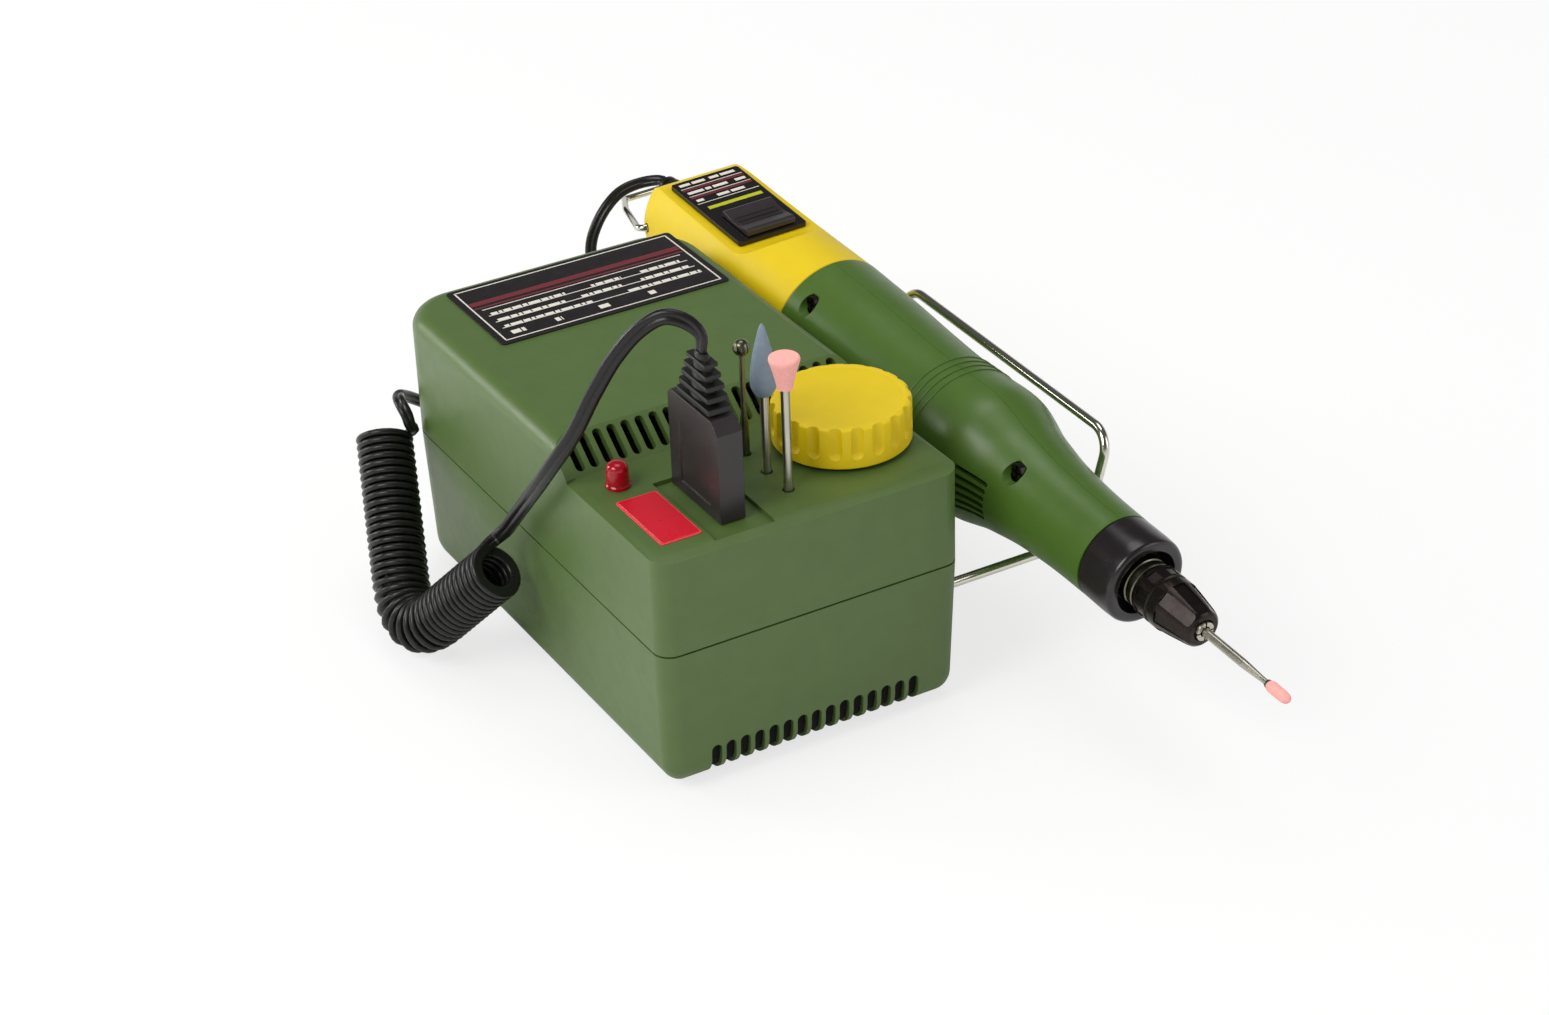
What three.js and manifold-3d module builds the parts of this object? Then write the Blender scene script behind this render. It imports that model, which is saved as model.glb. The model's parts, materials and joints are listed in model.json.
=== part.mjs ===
// Low-voltage rotary tool set: a mains power unit with speed control, a hand-held drill that lies in
// a wire cradle at its right side, and the curly lead that joins them.
// Millimetres, +Z up, +Y to the rear. The origin is the centre of the power unit's underside,
// and the rubber feet reach below it.

import * as THREE from 'three';
import { mergeVertices } from 'three/addons/utils/BufferGeometryUtils.js';
import Module from 'manifold-3d';

const wasm = await Module();
wasm.setup();

// ---------------------------------------------------------------------------------------------
// Driving dimensions
// ---------------------------------------------------------------------------------------------

const gap = 0.3;                  // air between pieces that touch on the real object
const runningGap = 0.3;          // radial air round a shaft in its bore

// Case
const caseWidth = 86;
const caseDepth = 147.5;
const splitHeight = 39.6;         // parting line between tray and cover
const deckHeight = 67.3;          // control deck
const roofHeight = 74.7;
const deckLength = 47;            // front face to the foot of the vent slope
const ventRun = 9.6;              // vent slope, front to back
const wall = 2.4;
const frontCorner = 4;            // corner radii seen from above
const rearCorner = 12;
const bottomFillet = 6;
const roofFillet = 4;
const trayDraft = 1.3;            // how much the tray draws in from the split to its underside
const deckBevelFront = 4.7;
const deckBevelSide = 3;
const deckBevelDrop = 1.1;

// Vents
const slotCount = 20;
const slotPitch = 4;
const slotWidth = 2.2;
const slotLength = 8.8;
const notchCount = 15;
const notchPitch = 4.1;
const notchWidth = 2.5;
const notchHeight = 9.6;

// Case screws and feet
const postX = 31;
const postFromEnd = 12.75;        // post centre to the front or rear face
const postRadius = 4;
const screwShank = 3;
const screwHead = 6.2;
const screwHeadHeight = 2.4;
const screwSink = 22.2;           // depth of the counterbore in the underside
const screwLength = 26;
const footX = 28;
const footFromEnd = 29.75;
const footDiameter = 12;
const footProud = 2;
const footRecess = 0.6;

// Plates, lamp and knob
const plateThickness = 0.5;
const ratingPlateWidth = 68.3;
const ratingPlateDepth = 35.1;
const ratingPlateX = 3.95;
const ratingPlateFromRear = 22.6; // plate centre to the rear face
const redPlateWidth = 11.4;
const redPlateDepth = 23.8;
const redPlateX = -32.4;
const redPlateFromFront = 18.7;
const lampDiameter = 5;
const lampFlange = 6.4;
const lampHeight = 7;
const lampX = -33.3;
const lampFromFront = 38;
const knobDiameter = 35.6;
const knobHeight = 11.3;
const knobLift = 1;               // air between knob and deck
const knobSkirt = 2.3;            // unfluted ring at the foot
const knobFlutes = 20;
const knobFluteDepth = 1.1;
const knobX = 25.1;
const knobFromFront = 27.95;
const knobShaft = 6;
const knobTopWall = 3.2;
const potentiometerDiameter = 20;

// Plug bay, socket and plug
const bayX = -17.4;               // middle of the bay
const bayWidth = 16.8;
const bayLength = 31.5;
const bayFromFront = 2.8;
const bayDepth = 1.2;
const plugWidth = 24.8;           // along Y
const plugThickness = 6.9;        // along X
const plugHeight = 27.1;
const plugFromFront = 21.2;       // plug centre to the front face
const plugChamfer = 3;
const pinDiameter = 2.8;
const pinSpacing = 12;
const pinLength = 8;
const reliefHeight = 13.8;
const reliefFoot = 12.4;
const reliefTop = 7.6;
const reliefRibs = 4;
const socketWidth = 14;
const socketLength = 23;

// Tool row in the deck
const shankDiameter = 2.35;
const rowX = 1;
const rowFromFront = [34.7, 24, 13.4];   // burr, rubber cone, inverted cone
const rowDepth = 10.6;
const rowBoss = 6;
const burrLift = 30;              // deck to the middle of the ball
const burrRadius = 2.2;
const burrNeck = 0.7;
const burrShoulder = 9;           // deck to where the shank narrows
const coneLift = 21.7;            // deck to the foot of the rubber cone
const coneLength = 19.6;
const stoneLift = 28.2;
const stoneLength = 10.6;
const headSocket = 5;             // how deep a shank is set in its head

// Electrical inner pieces
const boardThickness = 1.6;
const boardDrop = 12.2;           // deck surface to the board's top
const boardHalfWidth = 36;
const boardFrontGap = 18.5;       // front face to the board's edge
const boardDepth = 33;
const shaftClearOfBoard = 3;      // foot of the knob's shaft above the board
const capacitorHeight = 16;
const capacitorRadius = 6;
const regulatorHeight = 12;
const fuseHeight = 7;
const coreWidth = 50;
const coreDepth = 34;
const coreHeight = 50;
const coreLeg = 16;
const coreYoke = 8;
const coreY = 24;
const inletBore = 7.4;
const inletX = -20;
const inletZ = 20;

// Wire cradle
const wireDiameter = 2.6;
const cradleRail = 90.5;          // X of the outer rail
const cradleLegX = 82.5;          // X where a leg turns up
const frontLegY = -69.4;
const frontLegZ = 31;
const rearLegY = 27;
const rearLegZ = 36.3;
const railFrontZ = 59.2;
const railRearZ = 61.2;
const legInsert = 11;             // how far a leg reaches into its socket
const cradleCorner = 7;

// Drill. Stations run along its own axis from the cap joint, positive towards the nose.
const drillOrigin = new THREE.Vector3(65.8, 27.7, 57);
const drillYaw = 3.1;             // degrees away from the case
const drillPitch = 6.2;           // degrees nose down
const capLength = 73;
const capRadius = 18.9;
const bodyLength = 126.8;
const shellWall = 2.2;
const gripWaist = 17.9;
const bulgeFromNose = 53.8;       // thickest place, behind the body's front end
const bulgeRadius = 19;
const noseRadius = 12;
const noseRingLength = 12.4;
const noseRecess = 7.2;
const noseRecessRadius = 8.8;
const capWall = 2.4;
const spigotWall = 1.8;           // tube of the cap that centres the body
const spigotLength = 3;
const flatHeight = 11.6;          // flat on the cap above the axis
const flatFront = 29;             // station behind the joint where the flat ends
const rampLength = 14;
const panelWidth = 22.4;
const panelThickness = 1.3;
const panelFromTail = 9.8;        // cap's rear end to the panel
const switchWidth = 16;
const switchLength = 13.6;
const switchHeight = 1.7;
const switchTravel = 3;           // towards the tail
const switchFront = 30.4;         // front end of the slide, behind the joint
const switchStem = 2.8;
const slotTopWidth = 3.6;
const shellScrewFromCap = 7.4;
const shellScrewFromNose = 31.2;
const shellScrewRise = [13.4, 10.2];
const shellScrewHead = 4.6;
const shellScrewShank = 2.2;
const shellScrewSink = 1.2;
const noseVents = 6;
const noseVentPitch = 8;          // degrees
const noseVentWidth = 1.1;
const noseVentBehind = 6.5;       // thickest place to the rear ends of the vents
const noseVentLength = 11.5;
const motorLength = 44;
const motorRadius = 14.6;
const motorShaft = 3.2;
const spindleDiameter = 6;
const motorToCoupling = 4;
const couplingLength = 8;
const couplingRadius = 5;
const fanRadius = 12.6;
const fanBehind = 2;              // thickest place to the fan
const fanToMotor = 15;
const fanLength = 7;
const fanBlades = 8;
const bearingLength = 6.4;
const bearingRadius = 8;
const bearingFromNose = [27.3, 9.3];      // rear and front bearing, behind the body's front end
const reliefStart = 4.6;          // tail relief radii
const reliefEnd = 2.9;
const reliefLength = 12.6;
const bailWire = 2;
const bailFromTail = 5;           // cap's rear end to the pivot
const bailReach = 31;             // pivot to the far end of the loop
const bailHalf = 20;            // half the width at the pivots
const bailNarrow = 12.6;          // half the width where the loop rounds off
const bailPin = 4.4;               // how far a pivot end reaches inwards
const bailDroop = 16;             // degrees below the drill's axis

// Chuck and its tool
const holderBack = 7.8;           // body's front end to the back of the collet holder
const holderFlange = 6.6;
const holderFlangeLength = 6.8;
const holderNeck = 4.2;
const nutRadius = 7.1;
const nutLength = 19.9;
const nutShoulder = 8.8;          // nut's rear end to where its flats begin
const nutMouthRadius = 4.7;
const nutFlats = 8;
const colletRadius = 2.7;
const colletFlange = 3.3;
const colletLength = 14;
const colletSlit = 0.5;
const colletNose = 6.4;           // part of the collet in front of the holder
const colletProud = 0.7;          // how far the collet looks out of the nut
const pointLength = 23.7;         // nut's mouth to the foot of the mounted point
const pointInsert = 17;           // how far the shank reaches in behind the collet's front end
const pointHeadLength = 7.6;
const pointHeadRadius = 1.5;

// Cord
const cordWidth = 3.4;
const cordThickness = 2.1;
const cordRadius = 1.5;           // round stand-in for the flat twin cord on its straight runs
const coilRadius = 6.1;           // centre of the cord round the coil's middle line
const coilCurls = 33.75;
const coilStart = 0.96;           // where round its middle line the first curl begins, in radians
const coilSides = 5;
const coilSteps = 8;

// ---------------------------------------------------------------------------------------------
// Places worked out from the driving dimensions
// ---------------------------------------------------------------------------------------------

const frontY = -caseDepth / 2;
const rearY = caseDepth / 2;
const sideX = caseWidth / 2;
const deckRearY = frontY + deckLength;
const roofFrontY = deckRearY + ventRun;
const deckUnder = deckHeight - wall;
const boardTop = deckHeight - boardDrop;
const boardBottom = boardTop - boardThickness;
const boardFrontY = frontY + boardFrontGap;
const bayFloor = deckHeight - bayDepth;
const plugY = frontY + plugFromFront;
const plugX = bayX + 0.25;
const plugFoot = bayFloor + gap;
const plugTop = plugFoot + plugHeight;
const knobY = frontY + knobFromFront;
const lampY = frontY + lampFromFront;
const shankRadius = shankDiameter / 2;
const wireRadius = wireDiameter / 2;

// Stations along the drill
const bulgeStation = bodyLength - bulgeFromNose;
const shellScrewStations = [shellScrewFromCap, bodyLength - shellScrewFromNose];
const noseVentFrom = bulgeStation + noseVentBehind;
const noseVentTo = noseVentFrom + noseVentLength;
const fanFrom = bulgeStation + fanBehind;
const motorTo = fanFrom - fanToMotor;
const motorFrom = motorTo - motorLength;
const couplingFrom = motorTo + motorToCoupling;
const couplingTo = couplingFrom + couplingLength;
const bearingStations = bearingFromNose.map(behind => bodyLength - behind);
const panelRear = capLength - panelFromTail;
const bailStation = capLength - bailFromTail;
const holderFrom = bodyLength + holderBack;
const holderFlangeTo = holderFrom + holderFlangeLength;
const nutFrom = holderFlangeTo + gap;
const nutTo = nutFrom + nutLength;
const colletTo = nutTo + colletProud;
const colletFrom = colletTo - colletLength;
const neckTo = colletTo - colletNose - gap;
const pointFrom = colletTo - pointInsert;
const pointFoot = colletTo + pointLength;

// ---------------------------------------------------------------------------------------------
// Materials
// ---------------------------------------------------------------------------------------------

const finish = (color, roughness, metalness = 0) => (
  new THREE.MeshStandardMaterial({ color, roughness, metalness })
);
const greenPlastic = finish(0x46663a, 0.5);
const drillGreen = finish(0x3f6b22, 0.45);
const yellowPlastic = finish(0xe6c800, 0.4);
const blackPlastic = finish(0x1d1c1f, 0.5);
const blackRubber = finish(0x161617, 0.7);
const redPlastic = finish(0xd80a20, 0.35);
const blackPlate = finish(0x1a1518, 0.35);
const steel = finish(0xb9bab5, 0.3, 1);
const darkSteel = finish(0x2d2a27, 0.35, 0.9);
const copper = finish(0xa8612f, 0.45, 0.8);
const boardGreen = finish(0x1f5a34, 0.6);
const pinkStone = finish(0xe9a3a3, 0.9);
const blueRubber = finish(0x7a8fa0, 0.8);
const brass = finish(0xb08d3c, 0.4, 0.9);

// ---------------------------------------------------------------------------------------------
// Shape helpers
// ---------------------------------------------------------------------------------------------

// A closed solid of a geometry: only positions are kept, and triangles that closed up are dropped.
function solid(shape) {
  if (shape instanceof wasm.Manifold) return shape;
  const bare = shape.clone();
  bare.deleteAttribute('normal');
  bare.deleteAttribute('uv');
  const merged = mergeVertices(bare, 1e-4);
  const index = merged.index.array;
  const kept = [];
  for (let i = 0; i < index.length; i += 3) {
    const [a, b, c] = [index[i], index[i + 1], index[i + 2]];
    if (a !== b && b !== c && c !== a) kept.push(a, b, c);
  }
  const made = order => new wasm.Manifold(new wasm.Mesh({
    numProp: 3,
    vertProperties: new Float32Array(merged.attributes.position.array),
    triVerts: new Uint32Array(order),
  }));
  const first = made(kept);
  if (first.volume() > 0) return first;
  return made(kept.slice().reverse());
}

const join = (first, ...others) => others.reduce((sum, next) => sum.add(solid(next)), solid(first));
const cut = (first, ...others) => others.reduce((sum, next) => sum.subtract(solid(next)), solid(first));
const overlap = (first, ...others) => (
  others.reduce((sum, next) => sum.intersect(solid(next)), solid(first))
);

function box(x0, x1, y0, y1, z0, z1) {
  const shape = new THREE.BoxGeometry(x1 - x0, y1 - y0, z1 - z0);
  return shape.translate((x0 + x1) / 2, (y0 + y1) / 2, (z0 + z1) / 2);
}

// A solid of revolution about Z from [radius, height] pairs.
function turned(profile, sides = 20) {
  const points = profile.map(([radius, height]) => new THREE.Vector2(radius, height));
  return new THREE.LatheGeometry(points, sides).rotateX(Math.PI / 2);
}

function rod(radius, z0, z1, sides = 16) {
  return turned([[0, z0], [radius, z0], [radius, z1], [0, z1]], sides);
}

function ring(inner, outer, z0, z1, sides = 20) {
  return turned([[inner, z0], [outer, z0], [outer, z1], [inner, z1], [inner, z0]], sides);
}

const at = (shape, x, y, z = 0) => shape.translate(x, y, z);
const alongX = shape => shape.rotateY(Math.PI / 2);
const alongY = shape => shape.rotateX(-Math.PI / 2);

// A prism of an outline, grown along Z.
function prism(outline, z0, z1, curveSegments = 3) {
  const depth = z1 - z0;
  const shape = new THREE.ExtrudeGeometry(outline, { depth, bevelEnabled: false, curveSegments });
  return shape.translate(0, 0, z0);
}

// The same along X, from an outline drawn in (Y, Z), and along Y, from one drawn in (X, Z).
function prismAlongX(outline, x0, x1, curveSegments = 2) {
  const shape = prism(outline, x0, x1, curveSegments);
  const turn = new THREE.Matrix4().makeBasis(
    new THREE.Vector3(0, 1, 0), new THREE.Vector3(0, 0, 1), new THREE.Vector3(1, 0, 0));
  return shape.applyMatrix4(turn);
}

function prismAlongY(outline, y0, y1, curveSegments = 2) {
  const shape = prism(outline, -y1, -y0, curveSegments);
  return shape.rotateX(Math.PI / 2);
}

function polygon(points) {
  return new THREE.Shape(points.map(([x, y]) => new THREE.Vector2(x, y)));
}

// A tube of round wire or cord along a curve.
function tube(path, radius, steps, sides = 8) {
  const section = new THREE.Shape();
  for (let i = 0; i < sides; i += 1) {
    const angle = 2 * Math.PI * i / sides;
    const [x, y] = [radius * Math.cos(angle), radius * Math.sin(angle)];
    if (i === 0) section.moveTo(x, y);
    else section.lineTo(x, y);
  }
  section.closePath();
  return new THREE.ExtrudeGeometry(section, { steps, extrudePath: path, bevelEnabled: false });
}

// A path of straight runs whose corners are rounded off over a given length.
function roundedPath(points, corner) {
  const path = new THREE.CurvePath();
  let start = points[0];
  for (let i = 1; i < points.length - 1; i += 1) {
    const before = points[i - 1].clone().sub(points[i]).setLength(corner).add(points[i]);
    const after = points[i + 1].clone().sub(points[i]).setLength(corner).add(points[i]);
    path.add(new THREE.LineCurve3(start, before));
    path.add(new THREE.QuadraticBezierCurve3(before, points[i], after));
    start = after;
  }
  path.add(new THREE.LineCurve3(start, points[points.length - 1]));
  return path;
}

// A closed skin over rings of points that all have the same count.
function skin(rings) {
  const count = rings[0].length;
  const positions = rings.flat().flatMap(p => [p.x, p.y, p.z]);
  const faces = [];
  for (let i = 0; i < rings.length - 1; i += 1) {
    for (let j = 0; j < count; j += 1) {
      const [a, b] = [i * count + j, i * count + (j + 1) % count];
      faces.push(a, b, b + count, a, b + count, a + count);
    }
  }
  const last = (rings.length - 1) * count;
  for (let j = 1; j < count - 1; j += 1) {
    faces.push(0, j + 1, j, last, last + j, last + j + 1);
  }
  const shape = new THREE.BufferGeometry();
  shape.setAttribute('position', new THREE.Float32BufferAttribute(positions, 3));
  shape.setIndex(faces);
  return shape;
}

// The finished part: a named mesh of the solid in its own material.
function piece(parent, name, material, shape) {
  const mesh = solid(shape).getMesh();
  const geometry = new THREE.BufferGeometry();
  geometry.setAttribute('position', new THREE.BufferAttribute(new Float32Array(mesh.vertProperties), 3));
  geometry.setIndex(new THREE.BufferAttribute(new Uint32Array(mesh.triVerts), 1));
  geometry.computeVertexNormals();
  const made = new THREE.Mesh(geometry, material);
  made.name = name;
  parent.add(made);
  return made;
}

const group = new THREE.Group();
const vector = (x, y, z) => new THREE.Vector3(x, y, z);

// ---------------------------------------------------------------------------------------------
// Case: tray and cover
// ---------------------------------------------------------------------------------------------

// The case seen from above, drawn in by an inset.
function planOutline(inset) {
  const [x, front, rear] = [sideX - inset, frontY + inset, rearY - inset];
  const small = Math.max(frontCorner - inset, 0.5);
  const large = Math.max(rearCorner - inset, 0.5);
  const outline = new THREE.Shape();
  outline.moveTo(-x + small, front);
  outline.lineTo(x - small, front);
  outline.absarc(x - small, front + small, small, -Math.PI / 2, 0);
  outline.lineTo(x, rear - large);
  outline.absarc(x - large, rear - large, large, 0, Math.PI / 2);
  outline.lineTo(-x + large, rear);
  outline.absarc(-x + large, rear - large, large, Math.PI / 2, Math.PI);
  outline.lineTo(-x, front + small);
  outline.absarc(-x + small, front + small, small, Math.PI, 1.5 * Math.PI);
  return outline;
}

// A tray seen end on: drafted walls and rounded bottom edges.
function trayOutline(half, inset, top) {
  const foot = half - trayDraft - inset;
  const fillet = bottomFillet - inset;
  const outline = new THREE.Shape();
  outline.moveTo(-half + inset, top);
  outline.lineTo(-foot, inset + fillet);
  outline.absarc(-foot + fillet, inset + fillet, fillet, Math.PI, 1.5 * Math.PI);
  outline.lineTo(foot - fillet, inset);
  outline.absarc(foot - fillet, inset + fillet, fillet, 1.5 * Math.PI, 2 * Math.PI);
  outline.lineTo(half - inset, top);
  return outline;
}

// Hidden inner faces take half the steps round their curves.
function traySolid(inset, top) {
  const steps = inset > 0 ? 1 : 2;
  return overlap(
    prism(planOutline(inset), 0, top + 1, steps),
    prismAlongX(trayOutline(caseDepth / 2, inset, top), -caseWidth, caseWidth, steps),
    prismAlongY(trayOutline(sideX, inset, top), -caseDepth, caseDepth, steps),
  );
}

// The cover seen from the side: bevelled deck, vent slope, roof.
function coverSideOutline(inset, bottom) {
  const [front, rear] = [frontY + inset, rearY - inset];
  const [deck, roof] = [deckHeight - inset, roofHeight - inset];
  const rise = roofHeight - deckHeight;
  const slide = inset * (Math.hypot(ventRun, rise) - ventRun) / rise;   // keeps the slope's wall even
  const fillet = roofFillet + 1;
  const outline = new THREE.Shape();
  outline.moveTo(front, bottom);
  outline.lineTo(rear, bottom);
  outline.lineTo(rear, roof - fillet);
  outline.absarc(rear - fillet, roof - fillet, fillet, 0, Math.PI / 2);
  outline.lineTo(roofFrontY + slide, roof);
  outline.lineTo(deckRearY + slide, deck);
  outline.lineTo(frontY + deckBevelFront, deck);
  outline.lineTo(front, deck - deckBevelDrop);
  return outline;
}

function coverEndOutline(inset, bottom) {
  const [half, roof] = [sideX - inset, roofHeight - inset];
  const fillet = roofFillet;
  const outline = new THREE.Shape();
  outline.moveTo(-half, bottom);
  outline.lineTo(half, bottom);
  outline.lineTo(half, roof - fillet);
  outline.absarc(half - fillet, roof - fillet, fillet, 0, Math.PI / 2);
  outline.lineTo(-half + fillet, roof);
  outline.absarc(-half + fillet, roof - fillet, fillet, Math.PI / 2, Math.PI);
  return outline;
}

function coverSolid(inset, bottom) {
  const steps = inset > 0 ? 1 : 2;
  return overlap(
    prism(planOutline(inset), bottom, roofHeight, steps),
    prismAlongX(coverSideOutline(inset, bottom), -caseWidth, caseWidth, steps),
    prismAlongY(coverEndOutline(inset, bottom), -caseDepth, caseDepth, steps),
  );
}

const posts = [-1, 1].flatMap(sx => [
  [sx * postX, frontY + postFromEnd],
  [sx * postX, rearY - postFromEnd],
]);
const feet = [-1, 1].flatMap(sx => [
  [sx * footX, frontY + footFromEnd],
  [sx * footX, rearY - footFromEnd],
]);
const postNames = ['front_left', 'rear_left', 'front_right', 'rear_right'];
const trayTop = splitHeight - gap / 2;
const coverBottom = splitHeight + gap / 2;
const legBore = wireRadius + runningGap;
const legSockets = [[frontLegY, frontLegZ], [rearLegY, rearLegZ]];

function baseTray() {
  let tray = cut(traySolid(0, trayTop), traySolid(wall, trayTop + 2));
  const cavity = traySolid(wall - gap, trayTop);
  for (const [x, y] of posts) {
    tray = join(tray, at(rod(postRadius, wall / 2, trayTop, 10), x, y));
  }
  for (const [y, z] of legSockets) {
    const boss = alongX(rod(legBore + 2, sideX - legInsert - 4, sideX - 0.5, 12));
    tray = join(tray, overlap(at(boss, 0, y, z), cavity));
  }
  for (const [x, y] of posts) {
    tray = cut(
      tray,
      at(rod(screwHead / 2 + gap, -1, screwSink, 12), x, y),
      at(rod(screwShank / 2 + runningGap, 0, trayTop + 1, 12), x, y),
    );
  }
  for (const [x, y] of feet) {
    tray = cut(tray, at(rod(footDiameter / 2 + gap, -1, footRecess, 14), x, y));
  }
  for (const [y, z] of legSockets) {
    tray = cut(tray, at(alongX(rod(legBore, sideX - legInsert - 1, sideX + 1, 12)), 0, y, z));
  }
  const notch = new THREE.Shape();
  notch.moveTo(-notchWidth / 2, -1);
  notch.lineTo(notchWidth / 2, -1);
  notch.absarc(0, notchHeight - notchWidth / 2, notchWidth / 2, 0, Math.PI);
  const reach = wall + trayDraft + 2;
  for (let i = 0; i < notchCount; i += 1) {
    const x = (i - (notchCount - 1) / 2) * notchPitch;
    tray = cut(tray, at(prismAlongY(notch, frontY - 1, frontY + reach), x, 0));
  }
  const inlet = rod(inletBore / 2 + 2 + gap, rearY - 6, rearY + 2, 16);
  return cut(tray, at(alongY(inlet), inletX, 0, inletZ));
}

function topCover() {
  const inner = coverSolid(wall, splitHeight - 2);
  const outer = coverSolid(0, coverBottom);
  let cover = cut(outer, inner);
  const bored = [];

  for (const [x, y] of posts) {
    cover = join(cover, overlap(at(rod(postRadius, coverBottom, roofHeight, 10), x, y), outer));
    bored.push(at(rod(screwShank / 2 + runningGap, splitHeight - 1, splitHeight + 14, 12), x, y));
  }
  const rowBottom = deckHeight - rowDepth - 1;
  for (const fromFront of rowFromFront) {
    const y = frontY + fromFront;
    cover = join(cover, at(rod(rowBoss / 2, rowBottom, deckHeight - 1, 12), rowX, y));
    bored.push(at(rod(shankRadius + runningGap, deckHeight - rowDepth, deckHeight + 1, 12), rowX, y));
  }
  // stand-offs that hold the circuit board's rear edge
  for (const x of [-boardHalfWidth + 4, boardHalfWidth - 4]) {
    const y = boardFrontY + boardDepth - 4;
    cover = join(cover, overlap(at(rod(2.5, boardTop + gap, roofHeight, 10), x, y), outer));
  }

  bored.push(box(
    bayX - bayWidth / 2, bayX + bayWidth / 2,
    frontY + bayFromFront, frontY + bayFromFront + bayLength, bayFloor, deckHeight + 1));
  for (const side of [-1, 1]) {
    const y = plugY + side * pinSpacing / 2;
    bored.push(at(rod(pinDiameter / 2 + gap, deckUnder - 1, deckHeight, 12), plugX, y));
    const bevel = polygon([
      [side * (sideX - deckBevelSide), deckHeight],
      [side * (sideX + 1), deckHeight - deckBevelDrop],
      [side * (sideX + 1), deckHeight + 0.4],
      [side * (sideX - deckBevelSide), deckHeight + 0.4],
    ]);
    bored.push(prismAlongY(bevel, frontY - 1, deckRearY));
  }
  bored.push(at(rod(potentiometerDiameter / 2 - 6 + gap, deckUnder - 1, deckHeight + 1), knobX, knobY));
  bored.push(at(rod(lampDiameter / 2 + gap, deckUnder - 1, deckHeight + 1, 16), lampX, lampY));
  bored.push(plateRecess(redPlateX, frontY + redPlateFromFront, redPlateWidth, redPlateDepth, deckHeight));
  bored.push(plateRecess(
    ratingPlateX, rearY - ratingPlateFromRear, ratingPlateWidth, ratingPlateDepth, roofHeight));

  // vent slots, square to the slope
  const rise = roofHeight - deckHeight;
  const lean = Math.atan2(rise, ventRun);
  const slot = new THREE.Shape();
  const straight = (slotLength - slotWidth) / 2;
  slot.absarc(0, straight, slotWidth / 2, 0, Math.PI);
  slot.absarc(0, -straight, slotWidth / 2, Math.PI, 2 * Math.PI);
  for (let i = 0; i < slotCount; i += 1) {
    const x = (i - (slotCount - 1) / 2) * slotPitch;
    const hole = prism(slot, -wall * 2, wall, 1).rotateX(lean);
    bored.push(at(hole, x, (deckRearY + roofFrontY) / 2, (deckHeight + roofHeight) / 2));
  }
  return cut(cover, ...bored);
}

function plateRecess(x, y, width, depth, surface) {
  const [w, d] = [width / 2 + gap, depth / 2 + gap];
  return box(x - w, x + w, y - d, y + d, surface - gap, surface + 1);
}

function plate(x, y, width, depth, surface) {
  return box(x - width / 2, x + width / 2, y - depth / 2, y + depth / 2, surface, surface + plateThickness);
}

piece(group, 'base_tray', greenPlastic, baseTray());
piece(group, 'top_cover', greenPlastic, topCover());
piece(group, 'rating_plate', blackPlate,
  plate(ratingPlateX, rearY - ratingPlateFromRear, ratingPlateWidth, ratingPlateDepth, roofHeight));
piece(group, 'red_plate', redPlastic,
  plate(redPlateX, frontY + redPlateFromFront, redPlateWidth, redPlateDepth, deckHeight));

posts.forEach(([x, y], i) => {
  const seat = screwSink - gap;
  const screw = join(
    rod(screwHead / 2, seat - screwHeadHeight, seat, 10),
    rod(screwShank / 2, seat - 0.5, seat + screwLength, 8),
  );
  piece(group, `case_screw_${postNames[i]}`, steel, cut(screw, rod(1.2, 0, seat - 1, 6)).translate(x, y, 0));
});
feet.forEach(([x, y], i) => {
  const foot = turned([
    [0, -footProud], [footDiameter / 2 - 0.8, -footProud], [footDiameter / 2, -footProud + 0.8],
    [footDiameter / 2, footRecess - gap], [0, footRecess - gap],
  ], 14);
  piece(group, `rubber_foot_${postNames[i]}`, blackRubber, at(foot, x, y));
});

// Bush in the rear wall that takes the mains lead
const inletOuter = inletBore / 2 + 2;
const rearAtInlet = rearY - trayDraft * (splitHeight - inletZ) / splitHeight;
piece(group, 'mains_inlet_bush', blackRubber, at(alongY(turned([
  [inletBore / 2, rearAtInlet - wall - 2.5], [inletOuter + 1.6, rearAtInlet - wall - 2.5],
  [inletOuter + 1.6, rearAtInlet - wall - 0.9], [inletOuter, rearAtInlet - wall - 0.9],
  [inletOuter, rearAtInlet + 0.9], [inletOuter + 1.8, rearAtInlet + 0.9],
  [inletOuter + 1.2, rearAtInlet + 3], [inletBore / 2, rearAtInlet + 3],
  [inletBore / 2, rearAtInlet - wall - 2.5],
], 14)), inletX, 0, inletZ));

// ---------------------------------------------------------------------------------------------
// Inside the case: transformer, board, speed control, output socket
// ---------------------------------------------------------------------------------------------

const coreFoot = wall + gap;
const coreTop = coreFoot + coreHeight;
const windowX = coreWidth / 2 - coreYoke;
const core = [-1, 1].reduce((sum, side) => cut(sum, box(
  side > 0 ? coreLeg / 2 : -windowX, side > 0 ? windowX : -coreLeg / 2,
  coreY - coreDepth, coreY + coreDepth, coreFoot + coreYoke, coreTop - coreYoke,
)), box(-coreWidth / 2, coreWidth / 2, coreY - coreDepth / 2, coreY + coreDepth / 2, coreFoot, coreTop));
piece(group, 'transformer_core', steel, core);

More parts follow.
